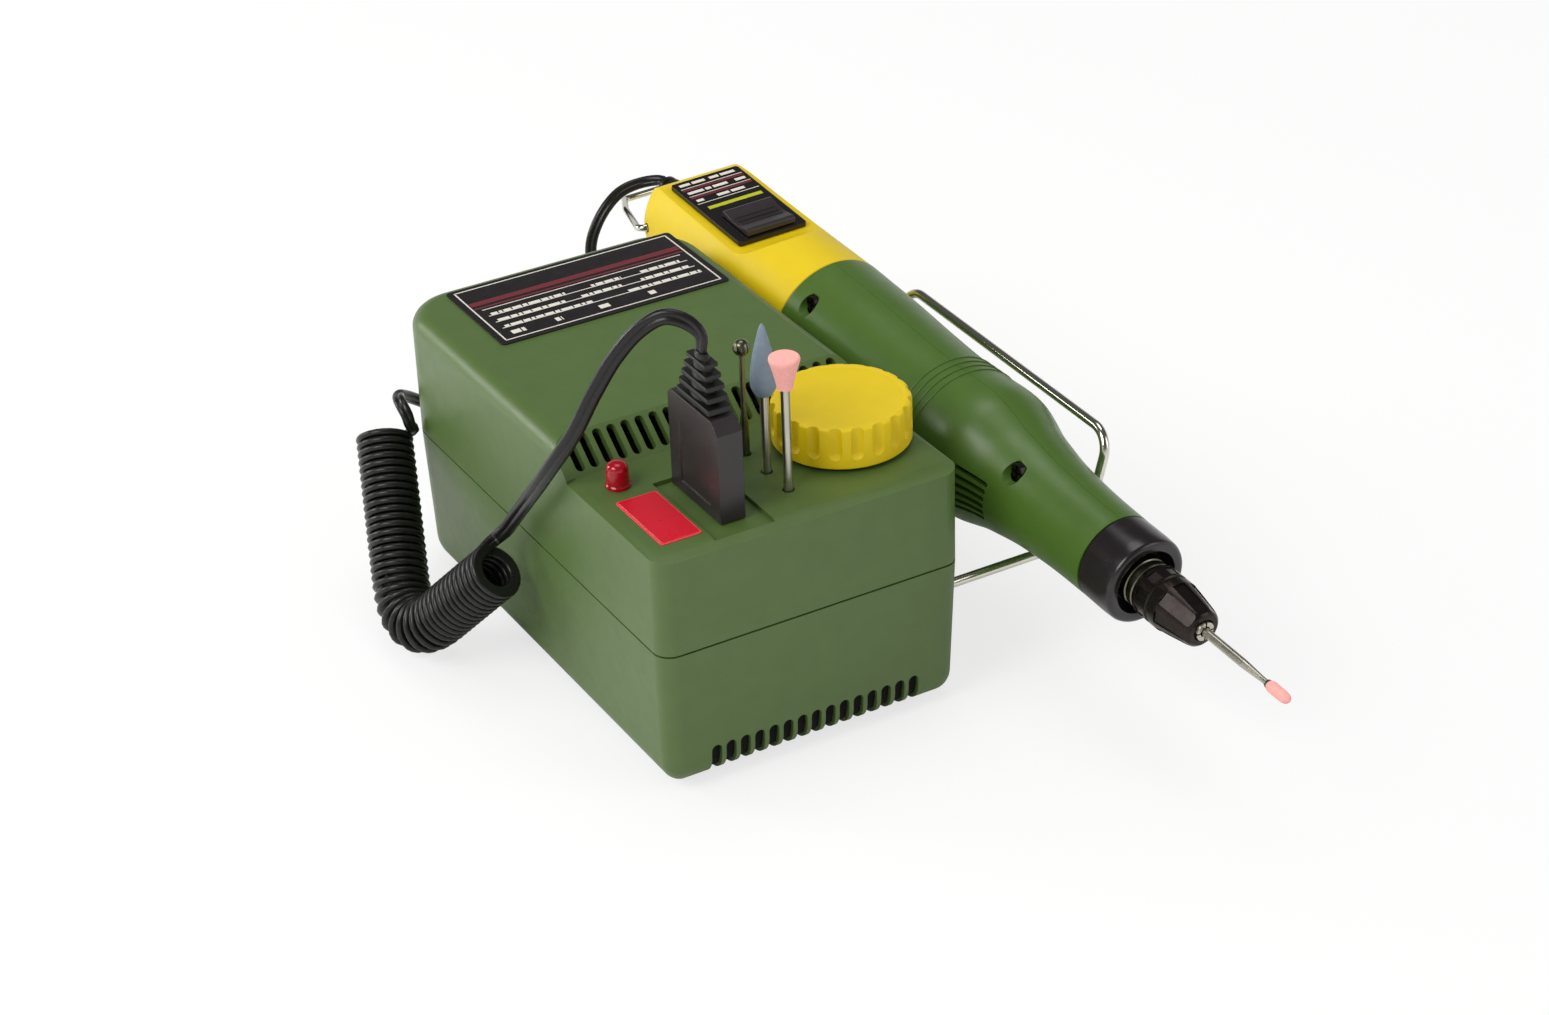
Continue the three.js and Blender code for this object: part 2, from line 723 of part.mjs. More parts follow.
function windingOutline(halfX, halfY, corner) {
  const outline = new THREE.Shape();
  outline.absarc(halfX - corner, halfY - corner, corner, 0, Math.PI / 2);
  outline.absarc(-halfX + corner, halfY - corner, corner, Math.PI / 2, Math.PI);
  outline.absarc(-halfX + corner, -halfY + corner, corner, Math.PI, 1.5 * Math.PI);
  outline.absarc(halfX - corner, -halfY + corner, corner, 1.5 * Math.PI, 2 * Math.PI);
  return outline;
}
const windingZ = [coreFoot + coreYoke + gap, coreTop - coreYoke - gap];
const bulge = windowX - gap - coreLeg / 2;
const windingBody = prism(windingOutline(windowX - gap, coreDepth / 2 + bulge, 6), ...windingZ);
const windingHole = box(
  -coreLeg / 2 - gap, coreLeg / 2 + gap, -coreDepth / 2 - gap, coreDepth / 2 + gap, 0, coreTop);
piece(group, 'transformer_winding', copper, cut(windingBody, windingHole).translate(0, coreY, 0));

const boardRearY = boardFrontY + boardDepth;
const onBoard = (x0, x1, y0, y1, height) => box(x0, x1, y0, y1, boardBottom - height, boardBottom + 0.2);
piece(group, 'circuit_board', boardGreen, join(
  box(-boardHalfWidth, boardHalfWidth, boardFrontY, boardRearY, boardBottom, boardTop),
  onBoard(-8, 6, boardFrontY + 4, boardFrontY + 8, regulatorHeight),
  onBoard(12, 22, boardRearY - 12, boardRearY - 6, fuseHeight),
  at(rod(capacitorRadius, boardBottom - capacitorHeight, boardBottom + 0.2, 12), -22, boardFrontY + 20),
));

const potTop = deckUnder - gap;
const potBushing = potentiometerDiameter / 2 - 6;
const shaftBottom = boardTop + shaftClearOfBoard;
const knobFoot = deckHeight + knobLift;
const knobTop = knobFoot + knobHeight;
piece(group, 'speed_potentiometer', darkSteel, cut(join(
  at(rod(potentiometerDiameter / 2, boardTop + gap, potTop, 20), knobX, knobY),
  at(rod(potBushing, potTop - 0.5, deckHeight + 0.6, 20), knobX, knobY),
), at(rod(knobShaft / 2 + runningGap, shaftBottom, deckHeight + 2, 16), knobX, knobY)));
piece(group, 'potentiometer_shaft', steel,
  at(rod(knobShaft / 2, shaftBottom + gap, knobTop - knobTopWall, 16), knobX, knobY));

const socketTop = deckUnder - gap;
const socketBores = [-1, 1].map(side => (
  at(rod(pinDiameter / 2 + gap, plugFoot - pinLength - 0.6, socketTop + 1, 12), plugX, plugY + side * pinSpacing / 2)
));
piece(group, 'output_socket', blackPlastic, cut(box(
  plugX - socketWidth / 2, plugX + socketWidth / 2,
  plugY - socketLength / 2, plugY + socketLength / 2, boardTop + gap, socketTop), ...socketBores));

piece(group, 'pilot_lamp', redPlastic, at(turned([
  [0, deckUnder - 3], [lampDiameter / 2, deckUnder - 3], [lampDiameter / 2, deckHeight + gap],
  [lampFlange / 2, deckHeight + gap], [lampFlange / 2, deckHeight + gap + 1.2],
  [lampDiameter / 2, deckHeight + gap + 1.2], [lampDiameter / 2, deckHeight + lampHeight - 1.4],
  [lampDiameter / 2 - 0.9, deckHeight + lampHeight - 0.3], [0, deckHeight + lampHeight],
], 12), lampX, lampY));

// Speed knob: flutes run down to a plain ring at its foot
function speedKnob() {
  const radius = knobDiameter / 2;
  const outline = new THREE.Shape();
  const valleys = [0, 0.9, 0.9];
  const steps = knobFlutes * valleys.length;
  for (let i = 0; i < steps; i += 1) {
    const angle = 2 * Math.PI * i / steps;
    const r = radius - knobFluteDepth * valleys[i % valleys.length];
    if (i === 0) outline.moveTo(r * Math.cos(angle), r * Math.sin(angle));
    else outline.lineTo(r * Math.cos(angle), r * Math.sin(angle));
  }
  const fluted = prism(outline, knobFoot + knobSkirt, knobTop);
  const dome = turned([
    [0, knobFoot], [radius + 1, knobFoot], [radius + 1, knobTop - 0.9],
    [radius - 1.2, knobTop], [0, knobTop],
  ], 32);
  const skirt = rod(radius, knobFoot, knobFoot + knobSkirt, 32);
  const hollow = ring(knobShaft / 2 + 2.2, radius - 3, knobFoot - 1, knobTop - 3, 16);
  const bore = rod(knobShaft / 2 + runningGap, knobFoot - 1, knobTop - knobTopWall + gap, 16);
  return cut(join(overlap(fluted, dome), skirt), hollow, bore);
}
piece(group, 'speed_knob', yellowPlastic, speedKnob().translate(knobX, knobY, 0));

// ---------------------------------------------------------------------------------------------
// Plug with its ribbed relief
// ---------------------------------------------------------------------------------------------

const plugHalf = plugWidth / 2;
const plugOutline = polygon([
  [-plugHalf, plugFoot], [plugHalf, plugFoot], [plugHalf, plugTop - plugChamfer / 2],
  [plugHalf - plugChamfer / 2, plugTop], [-plugHalf + plugChamfer, plugTop],
  [-plugHalf, plugTop - plugChamfer],
]);
const plugEnd = windingOutline(plugThickness / 2, plugHalf, 0.9);
const pinBores = [-1, 1].map(side => (
  at(rod(pinDiameter / 2 + gap, plugFoot - 1, plugFoot + 6, 12), 0, side * pinSpacing / 2)
));
piece(group, 'plug_body', blackPlastic, cut(overlap(
  prismAlongX(plugOutline, -plugThickness, plugThickness),
  prism(plugEnd, plugFoot, plugTop, 2),
), ...pinBores).translate(plugX, plugY, 0));

['front', 'rear'].forEach((name, i) => {
  const y = plugY + (i - 0.5) * pinSpacing;
  const pin = turned([
    [0, plugFoot - pinLength], [pinDiameter / 2 - 0.5, plugFoot - pinLength],
    [pinDiameter / 2, plugFoot - pinLength + 0.6], [pinDiameter / 2, plugFoot + 5.6], [0, plugFoot + 5.6],
  ], 12);
  piece(group, `plug_pin_${name}`, steel, at(pin, plugX, y));
});

// Ribs alternate with a slimmer core while the whole draws in towards the cord.
function ribbedRelief() {
  const foot = plugTop + gap;
  const rings = [];
  const pitch = reliefHeight / (reliefRibs + 0.5);
  const section = (height, wide, thick) => {
    const [a, b, c] = [thick / 2, wide / 2, 0.8];
    return [[a, b - c], [a - c, b], [-a + c, b], [-a, b - c], [-a, -b + c], [-a + c, -b], [a - c, -b], [a, -b + c]]
      .map(([x, y]) => vector(x, y, foot + height));
  };
  for (let i = 0; i < reliefRibs; i += 1) {
    const share = i / reliefRibs;
    const wide = THREE.MathUtils.lerp(reliefFoot, reliefTop, share);
    const thick = THREE.MathUtils.lerp(plugThickness - 0.6, cordWidth + 1.6, share);
    rings.push(section(i * pitch, wide, thick), section(i * pitch + pitch * 0.5, wide - 0.5, thick - 0.2));
    rings.push(section(i * pitch + pitch * 0.58, wide - 2, thick - 1.4));
    rings.push(section((i + 1) * pitch - pitch * 0.08, wide - 2.4, thick - 1.5));
  }
  rings.push(section(reliefRibs * pitch, reliefTop - 0.6, cordWidth + 1.4));
  rings.push(section(reliefHeight, reliefTop - 1.4, cordWidth + 0.8));
  return skin(rings);
}
piece(group, 'plug_relief', blackRubber, at(ribbedRelief(), plugX, plugY));

// ---------------------------------------------------------------------------------------------
// Tools that stand in the deck
// ---------------------------------------------------------------------------------------------

const rowFoot = deckHeight - rowDepth + gap;
const [burrY, coneY, stoneY] = rowFromFront.map(fromFront => frontY + fromFront);
const burrCentre = deckHeight + burrLift;
const burrShank = turned([
  [0, rowFoot], [shankRadius, rowFoot], [shankRadius, deckHeight + burrShoulder],
  [burrNeck, deckHeight + burrShoulder + 2.5], [burrNeck, burrCentre - 1.6], [1.5, burrCentre - 1.6], [burrRadius, burrCentre - 0.4],
  [burrRadius, burrCentre + 0.5], [1.4, burrCentre + 1.8], [0, burrCentre + 2.2],
], 12);
piece(group, 'ball_burr', steel, at(burrShank, rowX, burrY));

const coneFoot = deckHeight + coneLift;
const coneTip = coneFoot + coneLength;
piece(group, 'rubber_cone_shank', steel, at(rod(shankRadius, rowFoot, coneFoot + headSocket, 12), rowX, coneY));
piece(group, 'rubber_cone_head', blueRubber, at(cut(turned([
  [0, coneFoot], [2.1, coneFoot], [3.4, coneFoot + 2.4], [3.3, coneFoot + 6], [2.3, coneTip - 7.6],
  [1, coneTip - 2], [0, coneTip],
], 16), rod(shankRadius + gap, coneFoot - 1, coneFoot + headSocket + gap, 12)), rowX, coneY));

const stoneFoot = deckHeight + stoneLift;
const stoneTop = stoneFoot + stoneLength;
piece(group, 'inverted_stone_shank', steel, at(rod(shankRadius, rowFoot, stoneFoot + headSocket, 12), rowX, stoneY));
piece(group, 'inverted_stone_head', pinkStone, at(cut(turned([
  [0, stoneFoot], [1.9, stoneFoot], [2.5, stoneFoot + 3.5], [3.6, stoneTop - 3.6], [4.4, stoneTop - 1.4],
  [4.3, stoneTop - 0.3], [3.7, stoneTop], [0, stoneTop],
], 16), rod(shankRadius + gap, stoneFoot - 1, stoneFoot + headSocket + gap, 12)), rowX, stoneY));

// ---------------------------------------------------------------------------------------------
// Wire cradle
// ---------------------------------------------------------------------------------------------

const legEnd = sideX - legInsert + gap;
const cradlePath = roundedPath([
  vector(legEnd, frontLegY, frontLegZ),
  vector(cradleLegX, frontLegY, frontLegZ),
  vector(cradleRail, frontLegY, railFrontZ),
  vector(cradleRail, rearLegY, railRearZ),
  vector(cradleLegX, rearLegY, rearLegZ),
  vector(legEnd, rearLegY, rearLegZ),
], cradleCorner);
piece(group, 'wire_cradle', steel, tube(cradlePath, wireRadius, 44, 6));

// ---------------------------------------------------------------------------------------------
// Drill
// ---------------------------------------------------------------------------------------------

const yaw = THREE.MathUtils.degToRad(drillYaw);
const pitch = THREE.MathUtils.degToRad(drillPitch);
const noseward = vector(Math.sin(yaw) * Math.cos(pitch), -Math.cos(yaw) * Math.cos(pitch), -Math.sin(pitch));
const outward = vector(Math.cos(yaw), Math.sin(yaw), 0);
const upward = noseward.clone().cross(outward);
const drill = new THREE.Group();
drill.applyMatrix4(new THREE.Matrix4().makeBasis(outward, upward, noseward).setPosition(drillOrigin));
group.add(drill);

// Outer radius of the green body, station by station
const bodyProfile = [
  [capRadius, 0], [capRadius - 0.2, 20], [gripWaist + 0.2, bulgeStation - 35], [gripWaist, bulgeStation - 21],
  [gripWaist + 0.5, bulgeStation - 10], [bulgeRadius, bulgeStation], [bulgeRadius - 0.5, bulgeStation + 4.5],
  [bulgeRadius - 1.8, bulgeStation + 9], [bulgeRadius - 3.2, bulgeStation + 13.5],
  [noseRadius + 2.6, bulgeStation + 19.5], [noseRadius + 1.5, bodyLength - 27.8],
  [noseRadius + 0.7, bodyLength - 19.8], [noseRadius + 0.2, bodyLength - 10.8], [noseRadius, bodyLength],
];

function bodyRadius(station) {
  for (let i = 1; i < bodyProfile.length; i += 1) {
    const [[r0, s0], [r1, s1]] = [bodyProfile[i - 1], bodyProfile[i]];
    if (station <= s1) return THREE.MathUtils.lerp(r0, r1, (station - s0) / (s1 - s0));
  }
  return noseRadius;
}

function bodyShell(side) {
  const from = gap / 2;
  const outer = [[0, from], ...bodyProfile.map(([r, s]) => [r, Math.max(s, from)]), [0, bodyLength]];
  const inner = [[0, -1], [capRadius - shellWall, -1],
    ...bodyProfile.slice(1, -1).filter((_, i) => i % 2 === 1).map(([r, s]) => [r - shellWall, s]),
    [noseRadius - shellWall, bodyLength + 1], [0, bodyLength + 1]];
  let shell = cut(turned(outer, 24), turned(inner, 16));
  const filled = turned(outer, 24);
  const seats = [
    [motorRadius, motorFrom + 3, 2.4], [motorRadius, motorTo - 6, 2.4],
    ...bearingStations.map(station => [bearingRadius, station + 0.8, bearingLength - 1.6]),
  ];
  for (const [radius, station, length] of seats) {
    const rib = ring(radius + gap, bodyRadius(station + length) - 0.5, station, station + length, 24);
    shell = join(shell, rib);
  }
  shellScrewStations.forEach((station, i) => {
    const boss = at(alongX(rod(2.9, 0, side * 30, 10)), 0, shellScrewRise[i], station);
    shell = join(shell, overlap(boss, filled));
  });
  shellScrewStations.forEach((station, i) => {
    const rise = shellScrewRise[i];
    const reach = Math.sqrt(bodyRadius(station) ** 2 - rise ** 2);
    const seat = reach - shellScrewSink - 1.8;
    shell = cut(shell, at(alongX(rod(shellScrewShank / 2 + runningGap, -seat, seat + 1, 10)), 0, rise, station));
    if (side < 0) {
      shell = cut(shell, at(alongX(rod(shellScrewHead / 2 + gap, -30, -seat, 14)), 0, rise, station));
    }
  });
  const low = side > 0 ? gap / 2 : -30;
  shell = overlap(shell, box(low, low + 30 - gap / 2, -30, 30, -1, bodyLength + 1));
  for (let i = 0; i < noseVents; i += 1) {
    const turn = THREE.MathUtils.degToRad((i - (noseVents - 1) / 2) * noseVentPitch);
    const slit = box(side * 22 - 13, side * 22 + 13, -noseVentWidth / 2, noseVentWidth / 2, noseVentFrom, noseVentTo);
    shell = cut(shell, slit.rotateZ(turn));
  }
  return shell;
}
piece(drill, 'body_shell_left', drillGreen, bodyShell(-1));
piece(drill, 'body_shell_right', drillGreen, bodyShell(1));

shellScrewStations.forEach((station, i) => {
  const rise = shellScrewRise[i];
  const seat = Math.sqrt(bodyRadius(station) ** 2 - rise ** 2) - shellScrewSink - 1.8;
  const screw = join(
    rod(shellScrewHead / 2, -seat - 1.8, -seat - gap, 10),
    rod(shellScrewShank / 2, -seat - 1, seat - gap, 8),
  );
  const driven = cut(screw, box(-0.4, 0.4, -1.8, 1.8, -seat - 3, -seat - 1.2), box(-1.8, 1.8, -0.4, 0.4, -seat - 3, -seat - 1.2));
  const name = ['rear', 'front'][i];
  const mesh = piece(drill, `shell_screw_${name}`, darkSteel, driven);
  mesh.rotation.y = Math.PI / 2;
  mesh.position.set(0, rise, station);
});

// The stem of the slide switch runs in a slot of the cap and the panel.
const stemStation = -switchFront - switchLength / 2;
const stemSlot = [stemStation - switchStem / 2 - switchTravel - 1, stemStation + switchStem / 2 + 1];

// Yellow rear cap: a flat for the panel runs out at its rear and climbs a ramp at its front.
function rearCap() {
  const end = -capLength;
  const outer = turned([
    [0, end], [13.5, end], [15.8, end + 0.9], [17.2, end + 3], [17.8, end + 7], [capRadius - 0.8, end + 28],
    [capRadius - 0.5, -20], [capRadius, -gap / 2], [0, -gap / 2],
  ], 24);
  const spigot = capRadius - shellWall - 2 * gap;
  const inner = turned([
    [0, end + capWall], [12.4, end + capWall], [14.8, end + 6], [capRadius - 0.8 - capWall, end + 28],
    [capRadius - 0.5 - capWall, -20], [spigot - spigotWall, -6], [spigot - spigotWall, 4], [0, 4],
  ], 16);
  // the flat falls away behind the panel
  const flat = polygon([
    [end - 1, flatHeight - 7.4], [end + 0.4, flatHeight - 5], [end + 2.4, flatHeight - 2.4],
    [end + 5, flatHeight - 0.8], [end + 8, flatHeight], [-flatFront, flatHeight], [-flatFront + rampLength * 0.45, flatHeight + 2.4],
    [-flatFront + rampLength, capRadius + 1], [-flatFront + rampLength, 30], [end - 1, 30],
  ]);
  const alongStations = shape => shape.rotateY(-Math.PI / 2);
  const flatCut = alongStations(prism(flat, -30, 30));
  const roofCut = alongStations(prism(polygon([
    [end - 1, flatHeight - 5.2], [end + capWall, flatHeight - 5.2], [end + 6.5, flatHeight - capWall],
    [-flatFront, flatHeight - capWall],
    [-flatFront + rampLength, capRadius - capWall], [-flatFront + rampLength, 30], [end - 1, 30],
  ]), -30, 30));
  const tube = ring(spigot - spigotWall, spigot, -4, spigotLength, 16);
  let cap = join(cut(outer, flatCut, cut(inner, roofCut)), tube);
  cap = cut(cap, box(-slotTopWidth / 2, slotTopWidth / 2, flatHeight - capWall - 1, flatHeight + 1, ...stemSlot));
  for (const side of [-1, 1]) {
    const hole = alongX(rod(bailWire / 2 + runningGap, 12, 22, 12));
    if (side < 0) hole.rotateY(Math.PI);
    cap = cut(cap, at(hole, 0, 0, -bailStation));
  }
  return cut(cap, rod(reliefStart - 0.6 + gap, end - 1, end + 6, 16));
}
piece(drill, 'rear_cap', yellowPlastic, rearCap());

const panelFoot = flatHeight + gap;
const panelTop = panelFoot + panelThickness;
piece(drill, 'switch_panel', blackPlate, cut(
  box(-panelWidth / 2, panelWidth / 2, panelFoot, panelTop, -panelRear, -flatFront - 0.4),
  box(-slotTopWidth / 2, slotTopWidth / 2, panelFoot - 1, panelTop + 1, ...stemSlot),
));

function slideSwitch() {
  const foot = panelTop + gap;
  const top = foot + switchHeight;
  const side = polygon([
    [-switchFront - switchLength, foot], [-switchFront, foot], [-switchFront - 0.4, top - 0.4],
    [-switchFront - 1.2, top], [-switchFront - switchLength / 2, top - 0.6],
    [-switchFront - switchLength + 1.2, top], [-switchFront - switchLength + 0.4, top - 0.4],
  ]);
  const thumb = prism(side, -switchWidth / 2, switchWidth / 2).rotateY(-Math.PI / 2);
  const stem = box(-slotTopWidth / 2 + gap, slotTopWidth / 2 - gap, flatHeight - capWall - 2, foot + 0.5,
    stemStation - switchStem / 2, stemStation + switchStem / 2);
  return join(thumb, stem);
}
piece(drill, 'slide_switch', blackPlastic, slideSwitch());
const blockTop = flatHeight - capWall - 2 - gap;
piece(drill, 'switch_block', blackPlastic,
  box(-6, 6, blockTop - 8, blockTop, stemStation - 10, stemStation + 10));

// Tail: cord relief and the wire bail to hang the drill by
piece(drill, 'tail_relief', blackRubber, turned([
  [0, -capLength - reliefLength], [reliefEnd, -capLength - reliefLength],
  [reliefStart, -capLength - gap], [reliefStart - 0.6, -capLength - gap],
  [reliefStart - 0.6, -capLength + capWall + gap], [reliefStart + 1, -capLength + capWall + gap],
  [reliefStart + 1, -capLength + capWall + 2], [0, -capLength + capWall + 2],
], 16));

// The loop lies flat here, with its pivots on X, and then droops about them.
const bailHand = [1, -1].map(side => [
  vector(side * (bailHalf - bailPin), 0, 0), vector(side * bailHalf, 0, -0.4),
  vector(side * bailNarrow, 0, -bailReach * 0.66), vector(side * bailNarrow * 0.62, 0, -bailReach * 0.95),
]);
const bailPath = roundedPath([...bailHand[0], ...bailHand[1].reverse()], 2.2);
const bail = tube(bailPath, bailWire / 2, 40, 6).rotateX(-THREE.MathUtils.degToRad(bailDroop));
piece(drill, 'hanging_bail', steel, bail.translate(0, 0, -bailStation));

// Motor, spindle, fan and bearings
piece(drill, 'motor_can', steel,
  ring(motorShaft / 2 + runningGap, motorRadius, motorFrom, motorTo, 20));
piece(drill, 'motor_shaft', steel, rod(motorShaft / 2, motorFrom - 4, couplingTo - 3, 12));
piece(drill, 'drive_coupling', brass, cut(
  rod(couplingRadius, couplingFrom, couplingTo, 14),
  rod(motorShaft / 2 + gap, couplingFrom - 1, couplingTo - 3 + gap, 12),
));

function coolingFan() {
  const hub = ring(spindleDiameter / 2 + gap, 5, fanFrom, fanFrom + fanLength, 12);
  const disc = ring(4.5, fanRadius, fanFrom, fanFrom + 1.2, 16);
  const blades = [];
  for (let i = 0; i < fanBlades; i += 1) {
    const blade = box(4.6, fanRadius, -0.5, 0.5, fanFrom + 0.6, fanFrom + fanLength);
    blades.push(blade.rotateZ(2 * Math.PI * i / fanBlades));
  }
  return join(hub, disc, ...blades);
}
piece(drill, 'cooling_fan', blackPlastic, coolingFan());

bearingStations.forEach((station, i) => {
  piece(drill, `bearing_${['rear', 'front'][i]}`, steel,
    ring(spindleDiameter / 2 + runningGap, bearingRadius, station, station + bearingLength, 16));
});
piece(drill, 'spindle', steel, rod(spindleDiameter / 2, couplingTo + gap, holderFrom - gap, 16));

const ringEnd = bodyLength + gap + noseRingLength;
piece(drill, 'nose_ring', blackPlastic, turned([
  [spindleDiameter / 2 + 1, bodyLength + gap], [noseRadius, bodyLength + gap], [noseRadius, ringEnd - 5],
  [noseRadius - 0.4, ringEnd - 1.4], [noseRadius - 1.2, ringEnd], [noseRecessRadius, ringEnd],
  [noseRecessRadius - 0.3, ringEnd - noseRecess], [spindleDiameter / 2 + 1, ringEnd - noseRecess],
  [spindleDiameter / 2 + 1, bodyLength + gap],
], 20));

// ---------------------------------------------------------------------------------------------
// Collet chuck and the mounted point in it
// ---------------------------------------------------------------------------------------------

piece(drill, 'collet_holder', steel, cut(
  turned([
    [0, holderFrom], [holderFlange - 0.6, holderFrom], [holderFlange, holderFrom + 1],
    [holderFlange, holderFlangeTo], [holderNeck, holderFlangeTo], [holderNeck, neckTo], [0, neckTo],
  ], 20),
  rod(colletRadius + gap, colletFrom - gap, neckTo + 1, 16),
  rod(shankRadius + gap, pointFrom - gap, colletFrom, 12),
));

// The nut draws the collet back into its own cone, which closes the collet's four fingers.
function colletNut() {
  const shoulder = nutFrom + nutShoulder;
  const outer = turned([
    [0, nutFrom], [nutRadius - 0.5, nutFrom], [nutRadius, nutFrom + 0.8], [nutRadius, shoulder],
    [nutRadius - 0.7, shoulder + 3], [nutMouthRadius + 0.7, nutTo - 1.5],
    [nutMouthRadius, nutTo - 0.4], [nutMouthRadius - 0.9, nutTo], [0, nutTo],
  ], 20);
  const bore = turned([
    [0, nutFrom - 1], [holderNeck + gap, nutFrom - 1], [holderNeck + gap, neckTo + gap],
    [colletFlange + gap, neckTo + gap], [colletFlange + gap, colletTo - 3.4],
    [colletRadius + gap, colletTo - 1.2], [colletRadius + gap, nutTo + 1], [0, nutTo + 1],
  ], 16);
  const lean = Math.atan2(nutRadius - nutMouthRadius - 0.2, nutTo - shoulder);
  const flats = [];
  for (let i = 0; i < nutFlats; i += 1) {
    const flat = box(nutRadius - 0.75, nutRadius + 2, -1.5, 1.5, 0, nutTo - shoulder);
    flats.push(at(flat.rotateY(-lean), 0.4, 0, shoulder).rotateZ(2 * Math.PI * i / nutFlats));
  }
  return cut(outer, bore, ...flats);
}
piece(drill, 'collet_nut', darkSteel, colletNut());

const colletBore = shankRadius + gap;
const slits = [0, Math.PI / 2].map(turn => (
  box(-colletRadius * 2, colletRadius * 2, -colletSlit / 2, colletSlit / 2, colletFrom + 4, colletTo + 1).rotateZ(turn)
));
piece(drill, 'collet', steel, cut(turned([
  [colletBore, colletFrom], [colletRadius, colletFrom], [colletRadius, neckTo + gap],
  [colletFlange, neckTo + gap + 0.5], [colletFlange, colletTo - 3.4], [colletRadius, colletTo - 0.9],
  [colletRadius - 0.4, colletTo], [colletBore, colletTo], [colletBore, colletFrom],
], 16), ...slits));

const pointNeck = 0.75;
const pointTang = 2.5;            // how deep the shank is set in the stone
piece(drill, 'point_shank', steel, turned([
  [0, pointFrom], [shankRadius, pointFrom], [shankRadius, pointFoot - 9],
  [pointNeck, pointFoot - 2], [pointNeck, pointFoot + pointTang], [0, pointFoot + pointTang],
], 12));
piece(drill, 'point_head', pinkStone, cut(turned([
  [0, pointFoot], [1.2, pointFoot], [pointHeadRadius, pointFoot + 0.9],
  [pointHeadRadius, pointFoot + pointHeadLength - 1.2],
  [0.9, pointFoot + pointHeadLength - 0.2], [0, pointFoot + pointHeadLength],
], 14), rod(pointNeck + gap, pointFoot - 1, pointFoot + pointTang + gap, 10)));

// ---------------------------------------------------------------------------------------------
// Curly lead: plug to coil, the coil, and coil to drill
// ---------------------------------------------------------------------------------------------

// The coil's middle line: from its raised front end, over the bench, up against the left wall.
const coilLine = roundedPath([vector(-53.2, -3, 32.8), vector(-68.2, 25.5, 0), vector(-52.2, 67.5, 39)], 18);
coilLine.arcLengthDivisions = 600;

// Curls are as close at the inside of a bend as on a straight stretch, so they fan out round it.
function coilPoints() {
  const samples = 600;
  const points = coilLine.getSpacedPoints(samples);
  const step = coilLine.getLength() / samples;
  const frames = coilLine.computeFrenetFrames(samples, false);
  const turns = [0];
  for (let i = 1; i <= samples; i += 1) {
    const turn = coilLine.getTangentAt((i - 1) / samples).angleTo(coilLine.getTangentAt(i / samples));
    const inner = Math.max(1 - turn / step * (coilRadius + 0.6), 0.42);
    turns.push(turns[i - 1] + step * inner);
  }
  const scale = coilCurls / turns[samples];
  const middle = [];
  const centres = [];
  let k = 0;
  for (let n = 0; n <= coilCurls * coilSteps; n += 1) {
    const target = n / coilSteps;
    while (k < samples - 1 && turns[k + 1] * scale < target) k += 1;
    const share = (target - turns[k] * scale) / ((turns[k + 1] - turns[k]) * scale);
    const centre = points[k].clone().lerp(points[k + 1], share);
    const angle = coilStart - 2 * Math.PI * target;
    const arm = frames.normals[k].clone().multiplyScalar(Math.cos(angle));
    arm.addScaledVector(frames.binormals[k], Math.sin(angle));
    centres.push(centre);
    middle.push({ point: centre.clone().addScaledVector(arm, coilRadius), arm });
  }
  return middle;
}

// A straight lead-out of one cord diameter at each end, in line with the cord there.
function coilRings() {
  const middle = coilPoints();
  const leadOut = (end, next) => {
    const along = end.point.clone().sub(next.point).normalize();
    return { point: end.point.clone().addScaledVector(along, cordThickness), arm: end.arm, along };
  };
  const ends = [leadOut(middle[0], middle[1]), leadOut(middle.at(-1), middle.at(-2))];
  const line = [ends[0], ...middle, ends[1]];
  const rings = line.map(({ point, arm }, i) => {
    const before = line[Math.max(i - 1, 0)].point;
    const after = line[Math.min(i + 1, line.length - 1)].point;
    const along = after.clone().sub(before).normalize();
    const out = arm.clone().addScaledVector(along, -arm.dot(along)).normalize();
    const across = along.clone().cross(out);
    const section = [];
    for (let j = 0; j < coilSides; j += 1) {
      const angle = 2 * Math.PI * j / coilSides;
      section.push(point.clone()
        .addScaledVector(out, Math.cos(angle) * cordWidth / 2)
        .addScaledVector(across, Math.sin(angle) * cordThickness / 2));
    }
    return section;
  });
  return { rings, ends };
}

// Least distance between points of curls next to each other, measured on the finished rings.
function leastGap(rings) {
  let least = Infinity;
  for (let i = 0; i < rings.length; i += 1) {
    const near = Math.min(i + 2 * coilSteps + 1, rings.length);
    for (let j = i + coilSteps - 2; j < near; j += 1) {
      for (const p of rings[i]) {
        for (const q of rings[j]) least = Math.min(least, p.distanceTo(q));
      }
    }
  }
  return least;
}

const coil = coilRings();
console.log(`coil: ${coilCurls} curls, least gap to itself ${leastGap(coil.rings).toFixed(2)} mm`);
piece(group, 'cord_coil', blackRubber, skin(coil.rings));

// The straight cord meets the coil end to end, with the air between them that touching pieces keep.
const [coilFront, coilRear] = coil.ends;
const beyond = (end, distance) => end.point.clone().addScaledVector(end.along, distance);

